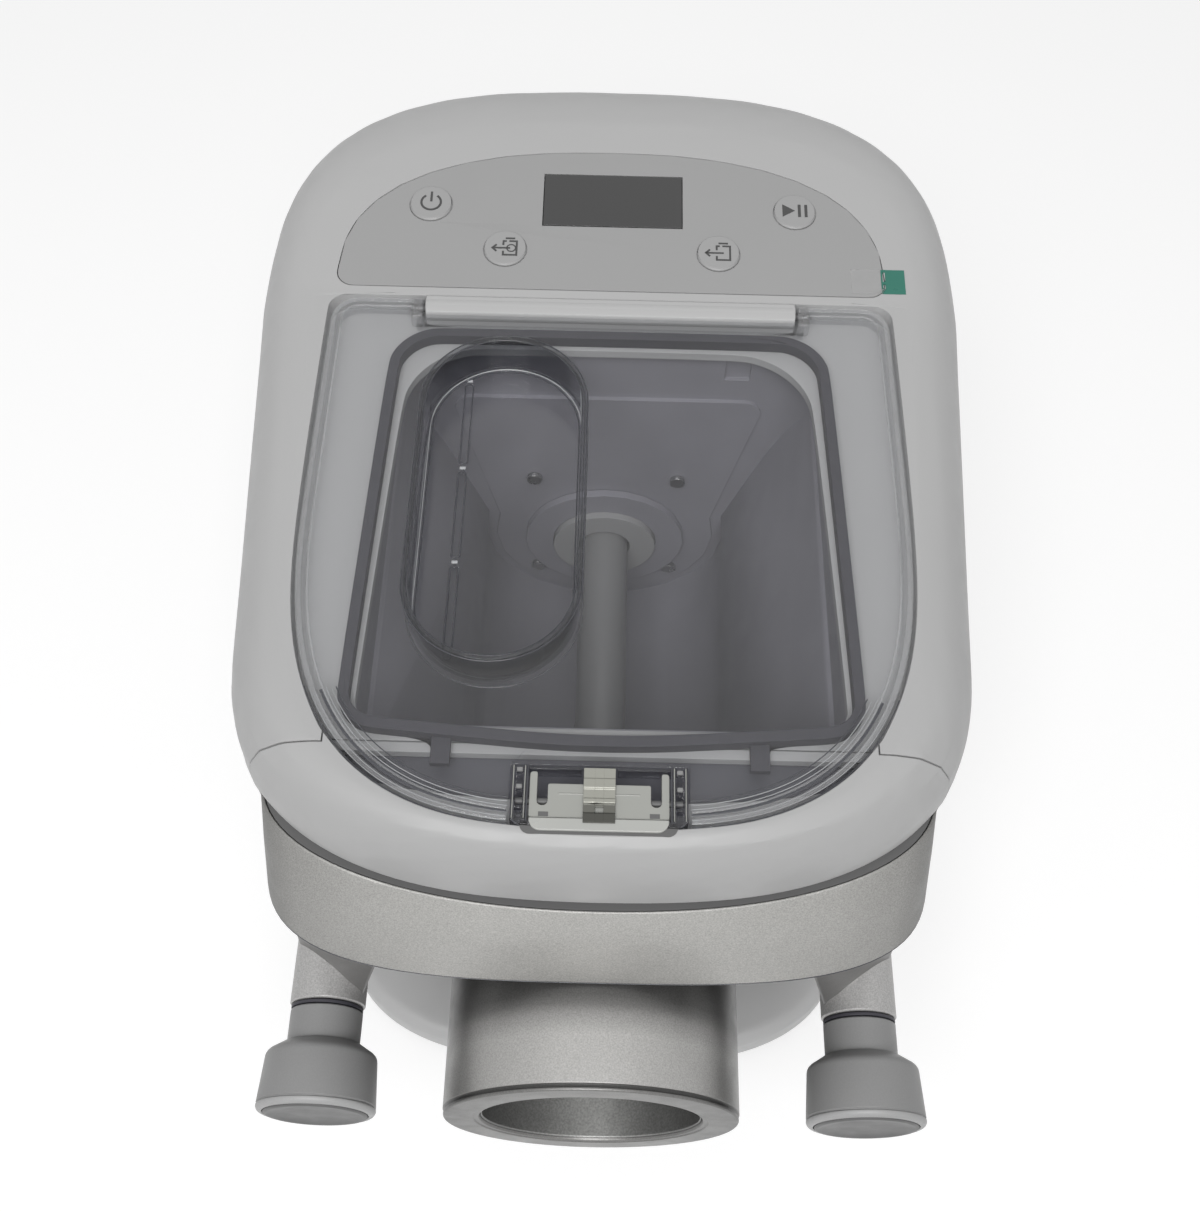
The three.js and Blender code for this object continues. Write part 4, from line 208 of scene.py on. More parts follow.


# Materials. The shade tables give (place in metres, factor of the colour) and paint light and shade into the
# colour:
# painted light and shade from front to back on the housing, darker sides of painted shade on the band, barrel
# and bore with a painted highlight down the bore's middle, a painted shadow under the band on the barrel, and
# painted highlights or painted shade at the ends of the knobs, barrel and clip
HOUSING_SHADE = ((-0.13, 0.93), (-0.08, 0.96), (0.0, 1.02), (0.1, 1.05))
SIDE_SHADE = ((-0.096, 0.3), (-0.09, 0.48), (-0.083, 0.7), (-0.065, 0.9), (-0.03, 1.02),
              (0.03, 1.02), (0.065, 0.9), (0.083, 0.7), (0.09, 0.48), (0.096, 0.3))
BORE_LIGHT_AND_SHADE = ((-0.034, 0.3), (-0.018, 0.7), (-0.004, 1.2), (0.004, 1.2), (0.018, 0.7), (0.034, 0.3))
KNOB_SHADE = ((-0.1635, 1.4), (-0.1602, 1.4), (-0.16, 1), (-0.13, 1))
BARREL_SHADE = ((-0.165, 0.5), (-0.1613, 0.5), (-0.161, 0.15), (-0.1602, 0.15), (-0.1599, 1.15),
                (-0.147, 1.15), (-0.1415, 0.78), (-0.1385, 0.42), (-0.136, 0.28), (-0.13, 0.26),
                (-0.106, 0.3))
BARREL_SIDE_SHADE = ((-0.0445, 0.5), (-0.03, 0.8), (-0.01, 1), (0.01, 1), (0.03, 0.8), (0.0445, 0.5))
CLIP_SHADE = ((-0.1128, 0.24), (-0.1098, 0.24), (-0.1095, 0.42), (-0.1076, 0.42), (-0.1072, 1), (-0.0965, 1))

# the housing's colour carries painted light and shade from front to back
housing = moulded("housing_plastic", grey(181), 0.42, 0.008, coat=0.04, specular=0.35, coarse=14,
                  shade=HOUSING_SHADE)
# the base's plastic is lighter than the housing's as painted light, lifting it in the machine's shadow
lightened_base = moulded("base_plastic_painted_light", grey(196), 0.4, 0.01, coarse=14)
panel = moulded("panel_print", grey(162), 0.42, 0.008, grain=2500)
display = moulded("display_glass", grey(44), 0.16, 0.03, coat=0.5)
dark = moulded("chamber_plastic", srgb(146, 145, 152), 0.42, 0.06, coarse=45)
sill = moulded("sill_plastic", srgb(80, 80, 87), 0.42, 0.05)
darker = moulded("dark_plastic", grey(62), 0.5, 0.05)
# dark lines of painted shade along edges and grooves of the clear lid, trough and latch, and under the band
painted_dark_lines = moulded("painted_dark_line_shade", srgb(70, 71, 76), 0.25, 0.1, edge=0)
# light lines of painted highlight along the edges of the clear lid and trough
painted_light_lines = moulded("painted_highlight_lines", srgb(176, 178, 180), 0.2, 0.15, edge=0)
rubber = moulded("dark_rubber", srgb(58, 57, 64), 0.6, 0.06)
seal = moulded("seal_silicone", grey(160), 0.6, 0.04)
rodgrey = moulded("rod_plastic", grey(132), 0.32, 0.05)
# the band's sides are darkened as painted shade
silver = moulded("silver_paint", srgb(172, 171, 168), 0.42, 0.02, grain=2400, metallic=0.35, speckle=0.2,
                 shade=SIDE_SHADE, axis="X")
bosspaint = moulded("boss_paint", srgb(174, 173, 172), 0.42, 0.02, grain=2200, metallic=0.35, speckle=0.2)
# a darker copy of the silver as painted shade, for the plate, the webs and the floor under the band
shaded_silver = moulded("silver_painted_shade", srgb(120, 119, 118), 0.45, 0.02, grain=2600, metallic=0.2, speckle=0.06)
# dark grey as painted shade for the strip between the hood and the band
gap_shade_grey = moulded("gap_painted_shade", grey(102), 0.6, 0.03)
# the bore has painted shade at its sides and a painted highlight down its middle
borepaint = moulded("bore_paint", srgb(158, 158, 156), 0.34, 0.04, grain=1500, metallic=0.6, speckle=0.2,
                    across=BORE_LIGHT_AND_SHADE)
# the knob's rim is lightened as a painted highlight
knobgrey = moulded("knob_plastic", grey(141), 0.42, 0.03, grain=2000, speckle=0.03, shade=KNOB_SHADE)
capgrey = moulded("knob_cap_plastic", grey(93), 0.45, 0.03, grain=2000, speckle=0.03)
# the barrel has a painted shadow under the band, painted shade at its sides and end, and a painted highlight
barrelsilver = moulded("barrel_paint", srgb(168, 167, 165), 0.36, 0.02, grain=2400, metallic=0.6,
                       speckle=0.17, shade=BARREL_SHADE, across=BARREL_SIDE_SHADE)
steel = moulded("bright_steel", grey(185), 0.28, 0.03, metallic=1.0)
# the clip's front fold is darkened as painted shade
clipsteel = moulded("clip_steel", srgb(158, 158, 150), 0.4, 0.05, metallic=0.6, edge=0.0002, shade=CLIP_SHADE)
# light grey as painted highlight on the latch frame's ribs
rib_highlight_grey = moulded("latch_rib_painted_highlight", grey(138), 0.4, 0.03, edge=0)
# dull grey for the pins, and dark grey as painted shade round the latch's lip and at its notches
pin_grey_and_shade = moulded("pin_grey_and_painted_shade", grey(98), 0.5, 0.03, edge=0)
gear = moulded("gear_nylon", srgb(226, 220, 205), 0.45, 0.03)
board = moulded("circuit_board", srgb(40, 92, 60), 0.5, 0.12)
film = moulded("green_film", srgb(43, 117, 101), 0.3, 0.05, edge=0.0001)
button = moulded("button_print", grey(165), 0.4, 0.01, grain=2500)
ink = moulded("symbol_ink", grey(70), 0.5, 0.04, edge=0)
clear = clear_plastic("lid_clear", (0.95, 0.952, 0.957, 1), 0.015, grey(190))
smoke = clear_plastic("trough_clear", (0.76, 0.765, 0.78, 1), 0.02, grey(90))
bead = clear_plastic("bead_clear", (0.97, 0.972, 0.978, 1), 0.14, grey(205), 0.1)
filmclear = clear_plastic("clear_film", (0.99, 0.99, 0.99, 1), 0.1, grey(215), 0.2, edge=0.0001)
latchclear = clear_plastic("latch_clear", (0.74, 0.74, 0.77, 1), 0.1, grey(110), 0.12, edge=0.0003)
liplight = moulded("latch_lip_light", srgb(178, 179, 175), 0.3, 0.03, coat=0.2, edge=0.0003)
latchpale = moulded("latch_pale", srgb(160, 161, 156), 0.3, 0.03, coat=0.2, edge=0.0003)

looks = {name: material for material, names in (
    (housing, "rear_housing front_frame lower_housing"), (lightened_base, "base_housing"), (sill, "front_sill"),
    (panel, "control_panel"), (display, "lcd_window"), (board, "control_board power_board"),
    (button, "power_button automatic_button extrude_button play_pause_button"), (film, "film_pull_tab"),
    (clear, "lid_shell"), (latchclear, "latch_frame"), (latchpale, "latch_lever"),
    (rubber, "lid_gasket cord_gland"), (pin_grey_and_shade, "hinge_pin_left hinge_pin_right latch_pin"),
    (dark, "mixing_chamber seal_flange"), (seal, "shaft_seal cover_seal"),
    (rodgrey, "mixing_paddle extrusion_screw"), (silver, "front_cover"),
    (darker, "bottom_plate lcd_module gearbox_housing gearbox_cover cooling_fan"),
    (gear, "output_gear intermediate_gear"),
    (steel, "latch_clip output_bearing output_shaft intermediate_axle motor_pinion motor"),
    (steel, "knob_stud_left knob_stud_right stud_insert_left stud_insert_right"),
    (rubber, "knob_washer_left knob_washer_right"),
    (knobgrey, "knob_left knob_right knob_cap_left knob_cap_right"),
) for name in names.split()}
for name in NODES:
    if name.startswith("foot_"):
        looks[name] = rubber
    if name.startswith("chamber_screw"):
        looks[name] = steel

# Shading of the solids: corners are joined, and faces turn smoothly up to SHARP_ANGLE, in radians. FINER
# gives the levels of subdivision of the broad curved shells
SHARP_ANGLE = 0.55
WELD = 0.00001
FINER = {"rear_housing": 2, "front_frame": 2, "lid_shell": 2, "lid_gasket": 2,
         "base_housing": 2, "lower_housing": 1}


def shading_group(level):
    group = bpy.data.node_groups.new(f"smooth_faces_{level}", "GeometryNodeTree")
    for way in ("INPUT", "OUTPUT"):
        group.interface.new_socket("Geometry", in_out=way, socket_type="NodeSocketGeometry")
    nodes, link = group.nodes, group.links.new
    start, end = nodes.new("NodeGroupInput"), nodes.new("NodeGroupOutput")
    weld = nodes.new("GeometryNodeMergeByDistance")
    weld.inputs["Distance"].default_value = WELD
    link(start.outputs[0], weld.inputs["Geometry"])
    shape = weld.outputs["Geometry"]

    def sharp():
        angle = nodes.new("GeometryNodeInputMeshEdgeAngle")
        above = nodes.new("FunctionNodeCompare")
        above.data_type, above.operation = "FLOAT", "GREATER_THAN"
        above.inputs["B"].default_value = SHARP_ANGLE
        link(angle.outputs["Unsigned Angle"], above.inputs["A"])
        return above.outputs["Result"]

    if level:
        finer = nodes.new("GeometryNodeSubdivisionSurface")
        finer.inputs["Level"].default_value = level
        link(shape, finer.inputs["Mesh"])
        link(sharp(), finer.inputs["Edge Crease"])
        shape = finer.outputs["Mesh"]
    for domain, selection, smooth in (("FACE", None, True), ("EDGE", sharp(), False)):
        shade = nodes.new("GeometryNodeSetShadeSmooth")
        shade.domain = domain
        shade.inputs["Shade Smooth"].default_value = smooth
        if selection is not None:
            link(selection, shade.inputs["Selection"])
        link(shape, shade.inputs["Geometry"])
        shape = shade.outputs["Geometry"]
    link(shape, end.inputs[0])
    return group


shading = {}
for name, obj in NODES.items():
    obj.data.materials.clear()
    obj.data.materials.append(looks[name])
    level = FINER.get(name, 0)
    if level not in shading:
        shading[level] = shading_group(level)
    obj.modifiers.new("smooth_faces", "NODES").node_group = shading[level]

# Places that the detail pieces are built on, in millimetres
LID_PLANE_Z = 250
LID_HALF_WIDTH = 85.8
LID_CURVE_Y = -8
LID_FRONT_REACH = 105.5
LID_POWER = 3
LID_BACK_Y = 58.8
LID_CORNER = 9
HINGE_HALF_SPAN = 56.6
HINGE_Y = 56
HINGE_BAR_HALF = 56.5
LATCH_HALF_WIDTH = 22.2
LATCH_FRONT_Y = -113.2
LATCH_BACK_Y = -97.2
TROUGH_X = -30.7
TROUGH_HALF_WIDTH = 24.75
TROUGH_FRONT_Y = -67.6
TROUGH_BACK_Y = 44
TROUGH_FLOOR_Z = 236
GROOVE_X = -42.8
GROOVE_COUNT = 3
GROOVE_SPACING = 33
SHAFT_Z = 138
KNOB_X = 82
COVER_FACE_Y = -106
BARREL_END_Y = -162
DECK_SLOPE = math.radians(5)
DECK_START_Y = 59.6
FINE_STEPS = 72
CORNER_STEPS = 12
ROUND_STEPS = 10
SHARP_DEGREES, BEVEL_DEGREES = 35, 40


def solid(name, points, faces, material, body, replaced=(), bevel=0.0, steps=2):
    """A mesh piece from millimetre points, riding on a body."""
    mesh = bpy.data.meshes.new(name)
    mesh.from_pydata([Vector(p) * MM for p in points], [], faces)
    shape = bmesh.new()
    shape.from_mesh(mesh)
    bmesh.ops.remove_doubles(shape, verts=shape.verts, dist=WELD / 4)
    bmesh.ops.recalc_face_normals(shape, faces=shape.faces)
    shape.to_mesh(mesh)
    shape.free()
    mesh.polygons.foreach_set("use_smooth", [True] * len(mesh.polygons))
    mesh.set_sharp_from_angle(angle=math.radians(SHARP_DEGREES))
    mesh.materials.append(material)
    piece = bpy.data.objects.new(name, mesh)
    bpy.context.scene.collection.objects.link(piece)
    if bevel:
        rounding = piece.modifiers.new("rounding", "BEVEL")
        rounding.width = bevel * MM
        rounding.segments = steps
        rounding.limit_method = "ANGLE"
        rounding.angle_limit = math.radians(BEVEL_DEGREES)
        rounding.harden_normals = True
    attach(piece, body)
    if replaced:
        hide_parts(*replaced)


def arc(x, y, radius, start, end, steps=CORNER_STEPS):
    angles = [start + (end - start) * k / steps for k in range(steps + 1)]
    return [(x + radius * math.cos(a), y + radius * math.sin(a)) for a in angles]


def super_arc(centre_y, half_width, reach, power, start, end, steps=FINE_STEPS):
    """Part of a superellipse round (0, centre_y)."""
    def bent(v):
        return math.copysign(abs(v) ** (2 / power), v)
    angles = [start + (end - start) * k / steps for k in range(steps + 1)]
    return [(half_width * bent(math.cos(a)), centre_y + reach * bent(math.sin(a))) for a in angles]


def rounded(corners, steps):
    """A closed outline through (x, y, radius) corners, each turned on its own arc."""
    points = []
    count = len(corners)
    for k, (x, y, radius) in enumerate(corners):
        here = Vector((x, y))
        before = (Vector(corners[k - 1][:2]) - here).normalized()
        after = (Vector(corners[(k + 1) % count][:2]) - here).normalized()
        if not radius:
            points.append((x, y))
            continue
        half = before.angle(after) / 2
        centre = here + (before + after).normalized() * (radius / math.sin(half))
        first, last = here + before * (radius / math.tan(half)), here + after * (radius / math.tan(half))
        a, b = (math.atan2(p.y - centre.y, p.x - centre.x) for p in (first, last))
        turn = (b - a + math.pi) % (2 * math.pi) - math.pi
        points += arc(centre.x, centre.y, radius, a, a + turn, steps)
    return points


def stadium(inset):
    """The trough's outline, drawn in by an inset."""
    half = TROUGH_HALF_WIDTH - inset
    back, front = TROUGH_BACK_Y - TROUGH_HALF_WIDTH, TROUGH_FRONT_Y + TROUGH_HALF_WIDTH
    return (arc(TROUGH_X, back, half, 0, math.pi, FINE_STEPS // 2)
            + arc(TROUGH_X, front, half, math.pi, 2 * math.pi, FINE_STEPS // 2))


def prism(outline, bottom, top):
    """Points and faces of an upright prism."""
    count = len(outline)
    points = [(x, y, bottom) for x, y in outline] + [(x, y, top) for x, y in outline]
    sides = [(k, (k + 1) % count, count + (k + 1) % count, count + k) for k in range(count)]
    return points, sides + [tuple(reversed(range(count))), tuple(range(count, 2 * count))]


def merged(*parts):
    """Several sets of points and faces as one."""
    points, faces = [], []
    for more_points, more_faces in parts:
        faces += [tuple(len(points) + i for i in face) for face in more_faces]
        points += more_points
    return points, faces


def box(left, right, front, back, bottom, top):
    return prism([(left, front), (right, front), (right, back), (left, back)], bottom, top)


def swept(path, section, closed=True):
    """A section of (outward, upward) points drawn along a path of (x, y, z) points seen from above."""
    count, size = len(path), len(section)
    points = []
    for k, place in enumerate(path):
        here = Vector(place)
        before = Vector(path[k - 1] if closed or k else path[0])
        after = Vector(path[(k + 1) % count] if closed or k < count - 1 else path[-1])
        along = (after - before).normalized()
        outward = Vector((along.y, -along.x, 0)).normalized()
        points += [tuple(here + outward * out + Vector((0, 0, up))) for out, up in section]
    spans = count if closed else count - 1
    faces = []
    for k in range(spans):
        a, b = k * size, ((k + 1) % count) * size
        faces += [(a + i, a + (i + 1) % size, b + (i + 1) % size, b + i) for i in range(size)]
    if not closed:
        faces += [tuple(range(size)), tuple(reversed(range((count - 1) * size, count * size)))]
    return points, faces


def round_section(width, height):
    """A flattened round section about the path."""
    angles = [2 * math.pi * k / ROUND_STEPS for k in range(ROUND_STEPS)]
    return [(width / 2 * math.cos(a), height / 2 * math.sin(a)) for a in angles]


def turned_y(profile, x, sides=96):
    """A closed profile of (radius, y) points turned about a line along Y, at the shaft's height. A radius
    of 0 closes at the line."""
    points, faces = [], []
    size = len(profile)
    for k in range(sides):
        a = 2 * math.pi * k / sides
        points += [(x + r * math.cos(a), y, SHAFT_Z + r * math.sin(a)) for r, y in profile]
    for k in range(sides):
        here, there = k * size, ((k + 1) % sides) * size
        for i in range(size):
            j = (i + 1) % size
            if profile[i][0] == 0 and profile[j][0] == 0:
                continue
            faces.append((here + i, here + j, there + j, there + i))
    return points, [tuple(dict.fromkeys(face)) for face in faces]


def fillet(radius_at, y_at, radius, start, end, steps):
    return arc(radius_at, y_at, radius, math.radians(start), math.radians(end), steps)


def offsets(radius, y, places):
    """Profile points at (outward, backward) distances from a radius and a y."""
    return [(radius + out, y + back) for out, back in places]


# Knobs: a neck, a sloped shoulder, a faintly flared grip, a groove before a rounded rim, and a dished cap.
# The tables give (outward, backward) distances from the grip's radius and the neck's or the knob's end
KNOB_START_Y = -131.7
KNOB_NECK_END_Y = -141.7
KNOB_END_Y = -161.9
KNOB_RADIUS = 17.8
NECK_RADIUS = 11
NECK_CHAMFER, NECK_FILLET = 0.4, 0.8
STUD_HOLE = 4.3
KNOB_SHOULDER = ((-2.9, -2.0), (-2.1, -2.5), (-1.5, -3.1), (-1.1, -3.8), (-0.95, -4.6))
KNOB_GROOVE = ((-0.05, 2.5), (-0.4, 2.35), (-0.4, 2), (-0.05, 1.85))
KNOB_RIM = 1.6
CAP_SEAT = ((-2, 0), (-2, 1.6))
CAP_EDGE = ((-2.3, 1.3), (-2.3, -0.1), (-2.6, -0.4), (-3.2, -0.55), (-3.9, -0.4), (-4.7, -0.1), (-8.3, 0.2))
CAP_BACK, CAP_DISH = 1.3, 0.4


def knob(side, x):
    foot = fillet(NECK_RADIUS + NECK_FILLET, KNOB_NECK_END_Y + NECK_FILLET, NECK_FILLET, 180, 270, 4)
    rim = fillet(KNOB_RADIUS - KNOB_RIM, KNOB_END_Y + KNOB_RIM, KNOB_RIM, 0, -90, 8)
    grip = [
        (STUD_HOLE, KNOB_START_Y), (NECK_RADIUS - NECK_CHAMFER, KNOB_START_Y),
        (NECK_RADIUS, KNOB_START_Y - NECK_CHAMFER), *foot,
        *offsets(KNOB_RADIUS, KNOB_NECK_END_Y, KNOB_SHOULDER), *offsets(KNOB_RADIUS, KNOB_END_Y, KNOB_GROOVE),
        *rim, *offsets(KNOB_RADIUS, KNOB_END_Y, CAP_SEAT), (STUD_HOLE, KNOB_END_Y + KNOB_RIM),
    ]
    solid(f"{side}_knob_grip", *turned_y(grip, x), knobgrey, f"{side}_knob", (f"knob_{side}",))
    cap = [(0, KNOB_END_Y + CAP_BACK), *offsets(KNOB_RADIUS, KNOB_END_Y, CAP_EDGE),
           (0, KNOB_END_Y + CAP_DISH)]
    solid(f"{side}_knob_face", *turned_y(cap, x), capgrey, f"{side}_knob", (f"knob_cap_{side}",))


# Front cover: a sparkling band round the front, a dark strip of painted shade over it, a plate behind it, a
# short barrel, and a boss and a web for each knob. The plate, the webs and the floor under the band take a
# darker copy of the silver as painted shade, and a thin dark line of painted shade runs under the band.
# BAND_TOP and BAND_BOTTOM are the band's
# outline as a superellipse: centre y, half width, reach and power. The sections are rings of (share of the
# band's height, inset, z)
BARREL_RADIUS = 44.1
BARREL_BORE = 32.4
BARREL_STEPS = 128
COVER_BACK_Y = -88.2
COVER_ROOT_Y = COVER_FACE_Y + 1
BAND_TOP_Z = 217.9
BAND_BOTTOM_Z = 184
BAND_TOP = (-88.2, 93, 36.5, 2.15)
BAND_BOTTOM = (-92, 96, 41.6, 3.3)
BAND_STEPS = 48
BAND_SECTION = (
    (1, 5, BAND_TOP_Z - 1.6), (1, 0.9, BAND_TOP_Z - 1.6), (1, 0.7, BAND_TOP_Z), (1, 0.25, BAND_TOP_Z - 0.05),
    (0.99, 0, BAND_TOP_Z - 0.4), (0.5, -0.2, (BAND_TOP_Z + BAND_BOTTOM_Z) / 2),
    (0.01, 0, BAND_BOTTOM_Z + 0.5), (0, 0.4, BAND_BOTTOM_Z), (0, 5, BAND_BOTTOM_Z),
)
# rings of the strip of painted shade over the band, and of the floor under the band
GAP_SECTION = ((1, 14, BAND_TOP_Z - 1.5), (1, 1, BAND_TOP_Z - 1.5), (1, 1, BAND_TOP_Z - 0.5),
               (1, 14, BAND_TOP_Z - 0.5))
FLOOR_SECTION = ((0, 4.5, BAND_BOTTOM_Z), (0, 40, BAND_BOTTOM_Z), (0, 40, BAND_BOTTOM_Z + 2),
                 (0, 4.5, BAND_BOTTOM_Z + 2))
PLATE_CORNERS = ((92, 190, 4), (-92, 190, 4), (-92, 122, 30), (-64, 94, 18), (64, 94, 18), (92, 122, 30))
PLATE_STEPS, PLATE_CHAMFER, PLATE_HOLE = 120, 1, BARREL_BORE + 1.4
BOSS_RADIUS, BOSS_HOLE, BOSS_CHAMFER = 11.5, STUD_HOLE + 0.3, 0.4
BOSS_END_Y = -130.1
# A web's inner and outer front corners at its bottom and at its top, as (x, y), and the two heights
WEB_BOTTOM, WEB_BOTTOM_Z = ((KNOB_X - 10.5, -127.8), (KNOB_X + 10.8, -112)), 139
WEB_TOP, WEB_TOP_Z = ((58, -121), (89, -113)), 186
# The barrel's end, as (outward, backward) distances from its radius or its bore and its end
BARREL_GROOVE = ((0, 2), (-0.55, 1.8), (-0.55, 1), (-0.25, 0.8))
BARREL_LIP = 0.6
BARREL_STEP = ((2.6, -0.1), (2.3, 0.2), (1, 0.2), (0.4, 1.2))
BORE_LAP = 0.4


def band_ring(share, inset, z):
    """The band's outline at a share of its height, from its back left corner to its back right one."""
    centre, half, reach, power = (low + (high - low) * share for low, high in zip(BAND_BOTTOM, BAND_TOP))
    bow = super_arc(centre, half - inset, reach - inset, power, math.pi, 2 * math.pi, BAND_STEPS)
    return [(x, y, z) for x, y in [(-half + inset, COVER_BACK_Y), *bow, (half - inset, COVER_BACK_Y)]]


def lofted_band(section):
    """A solid through band rings, with flat ends at the first and last point of each ring."""
    rings = [band_ring(*place) for place in section]
    count, size = len(rings[0]), len(rings)
    points = [p for ring in rings for p in ring]
    faces = [(a * count + k, a * count + k + 1, b * count + k + 1, b * count + k)
             for a, b in ((i, (i + 1) % size) for i in range(size)) for k in range(count - 1)]
    faces += [tuple(i * count for i in range(size)), tuple(i * count + count - 1 for i in range(size))]
    return points, faces


def cover_plate():
    """The plate with its round hole: its outline is found along even rays from the shaft's line."""
    outline = rounded(PLATE_CORNERS, 8)
    rays = []
    for k in range(PLATE_STEPS):
        angle = 2 * math.pi * k / PLATE_STEPS
        way = Vector((math.cos(angle), math.sin(angle)))
        reach = 0
        for (ax, az), (bx, bz) in zip(outline, outline[1:] + outline[:1]):
            a, edge = Vector((ax, az - SHAFT_Z)), Vector((bx - ax, bz - az))
            across = way.cross(edge)
            if abs(across) < 1e-9:
                continue
            far, share = a.cross(edge) / across, a.cross(way) / across
            if far > reach and -1e-6 <= share <= 1 + 1e-6:
                reach = far
        rays.append((way, reach))

    def row(y, inset=None):
        """A row round the outline, or round the hole where no inset is given."""
        reaches = [(way, PLATE_HOLE if inset is None else reach - inset) for way, reach in rays]
        return [(way.x * far, y, SHAFT_Z + way.y * far) for way, far in reaches]

    rows = [row(COVER_FACE_Y), row(COVER_FACE_Y, PLATE_CHAMFER), row(COVER_FACE_Y + PLATE_CHAMFER, 0),
            row(COVER_BACK_Y, 0), row(COVER_BACK_Y)]
    points = [p for one in rows for p in one]
    faces = []
    for a in range(len(rows)):
        here, there = a * PLATE_STEPS, (a + 1) % len(rows) * PLATE_STEPS
        faces += [(here + k, here + (k + 1) % PLATE_STEPS, there + (k + 1) % PLATE_STEPS, there + k)
                  for k in range(PLATE_STEPS)]
    return points, faces


def cover_boss(side):
    name = "left" if side < 0 else "right"
    profile = [
        (BOSS_HOLE, BOSS_END_Y), (BOSS_RADIUS - BOSS_CHAMFER, BOSS_END_Y),
        (BOSS_RADIUS, BOSS_END_Y + BOSS_CHAMFER), (BOSS_RADIUS, COVER_ROOT_Y), (BOSS_HOLE, COVER_ROOT_Y),
    ]
    solid(f"{name}_boss", *turned_y(profile, side * KNOB_X), bosspaint, "cover")
    points = []
    for (inner, outer), z in ((WEB_BOTTOM, WEB_BOTTOM_Z), (WEB_TOP, WEB_TOP_Z)):
        corners = (inner, outer, (outer[0], COVER_ROOT_Y), (inner[0], COVER_ROOT_Y))
        points += [(side * x, y, z) for x, y in corners]
    faces = [(0, 1, 2, 3), (4, 5, 6, 7)] + [(k, (k + 1) % 4, 4 + (k + 1) % 4, 4 + k) for k in range(4)]
    solid(f"{name}_boss_web", points, faces, shaded_silver, "cover", bevel=1.6, steps=4)


def front_cover():
    solid("cover_band", *lofted_band(BAND_SECTION), silver, "cover", ("front_cover",))
    # a dark strip of painted shade over the band, under the hood
    solid("cover_painted_gap_shade", *lofted_band(GAP_SECTION), gap_shade_grey, "cover")
    # the floor under the band, in the darker silver of painted shade
    solid("cover_band_floor", *lofted_band(FLOOR_SECTION), shaded_silver, "cover")
    # a thin dark line of painted shade under the band's bottom edge
    line = swept(band_ring(0, 0.15, BAND_BOTTOM_Z - 0.1), round_section(0.35, 0.3), closed=False)
    solid("cover_band_shade_line", *line, painted_dark_lines, "cover")
    # the plate behind the band, in the darker silver of painted shade
    solid("cover_plate", *cover_plate(), shaded_silver, "cover")
    for side in (-1, 1):
        cover_boss(side)
    lip = fillet(BARREL_RADIUS - 0.8, BARREL_END_Y + 0.5, BARREL_LIP, 0, -90, 6)
    barrel = [
        (BARREL_RADIUS, COVER_FACE_Y + 0.5), *offsets(BARREL_RADIUS, BARREL_END_Y, BARREL_GROOVE), *lip,
        *offsets(BARREL_BORE, BARREL_END_Y, BARREL_STEP), (BARREL_BORE + BORE_LAP, COVER_FACE_Y + 0.5),
    ]
    solid("barrel_skin", *turned_y(barrel, 0, BARREL_STEPS), barrelsilver, "cover")
    bore = [
        (BARREL_BORE + BORE_LAP, BARREL_END_Y + 1), (BARREL_BORE, BARREL_END_Y + 1.3),
        (BARREL_BORE, COVER_BACK_Y), (PLATE_HOLE, COVER_BACK_Y), (PLATE_HOLE, COVER_FACE_Y + 0.6),
        (BARREL_BORE + BORE_LAP, COVER_FACE_Y + 0.6),
    ]
    solid("barrel_bore", *turned_y(bore, 0, BARREL_STEPS), borepaint, "cover")


# Button faces: a symbol in ink on a thin disc, and a strip of membrane round it, all drawn about (0, 0)
LOOK_FROM_Z = 0.4
INK_HEIGHT = 0.06
LINE = 0.62
SYMBOL_LIFT = 0.47
DISC_RADIUS, DISC_HEIGHT, DISC_STEPS = 6.45, 0.45, 64
MEMBRANE_RADIUS = 6.75
MEMBRANE_SECTION = ((-0.12, -0.9), (0.12, -0.9), (0.12, -0.12), (-0.12, -0.12))


def surface_of(name):
    mesh = NODES[name].data
    return BVHTree.FromPolygons([v.co for v in mesh.vertices], [p.vertices for p in mesh.polygons])


def top_at(surface, x, y):
    """The highest point of a surface, in metres, over a place in millimetres, or None."""
    return surface.ray_cast(Vector((x * MM, y * MM, LOOK_FROM_Z)), Vector((0, 0, -1)))[0]


def tilted(part, x, y, z):
    """A flat drawing about (0, 0) laid on the sloping deck at a place."""
    place = Matrix.Translation((x, y, z)) @ Matrix.Rotation(DECK_SLOPE, 4, "X")
    points, faces = part
    return [tuple(place @ Vector(p)) for p in points], faces


def stroke(line, width, closed=False):
    """Points and faces of a flat line of one width, with mitred corners."""
    count = len(line)
    left, right = [], []
    for k in range(count):
        here = Vector(line[k])
        before = Vector(line[k - 1]) if closed or k else None
        after = Vector(line[(k + 1) % count]) if closed or k < count - 1 else None
        ways = [(b - a).normalized() for a, b in ((before, here), (here, after))
                if a is not None and b is not None]
        sides = [Vector((-w.y, w.x)) for w in ways]
        mitre = sum(sides[1:], sides[0]).normalized()
        reach = width / 2 / max(0.5, mitre.dot(sides[0]))
        left.append(tuple(here + mitre * reach))
        right.append(tuple(here - mitre * reach))
    if closed:
        points = [(x, y, z) for z in (0, INK_HEIGHT) for x, y in left + right]
        faces = []
        for k in range(count):
            j = (k + 1) % count
            corners = [(row * count + k, row * count + j) for row in range(4)]
            faces += [(*corners[a], *reversed(corners[b])) for a, b in ((0, 1), (2, 3), (0, 2), (1, 3))]
        return points, faces
    return prism(left + right[::-1], 0, INK_HEIGHT)


def ring(x, y, radius, steps=40):
    return arc(x, y, radius, 0, 2 * math.pi * (1 - 1 / steps), steps - 1)


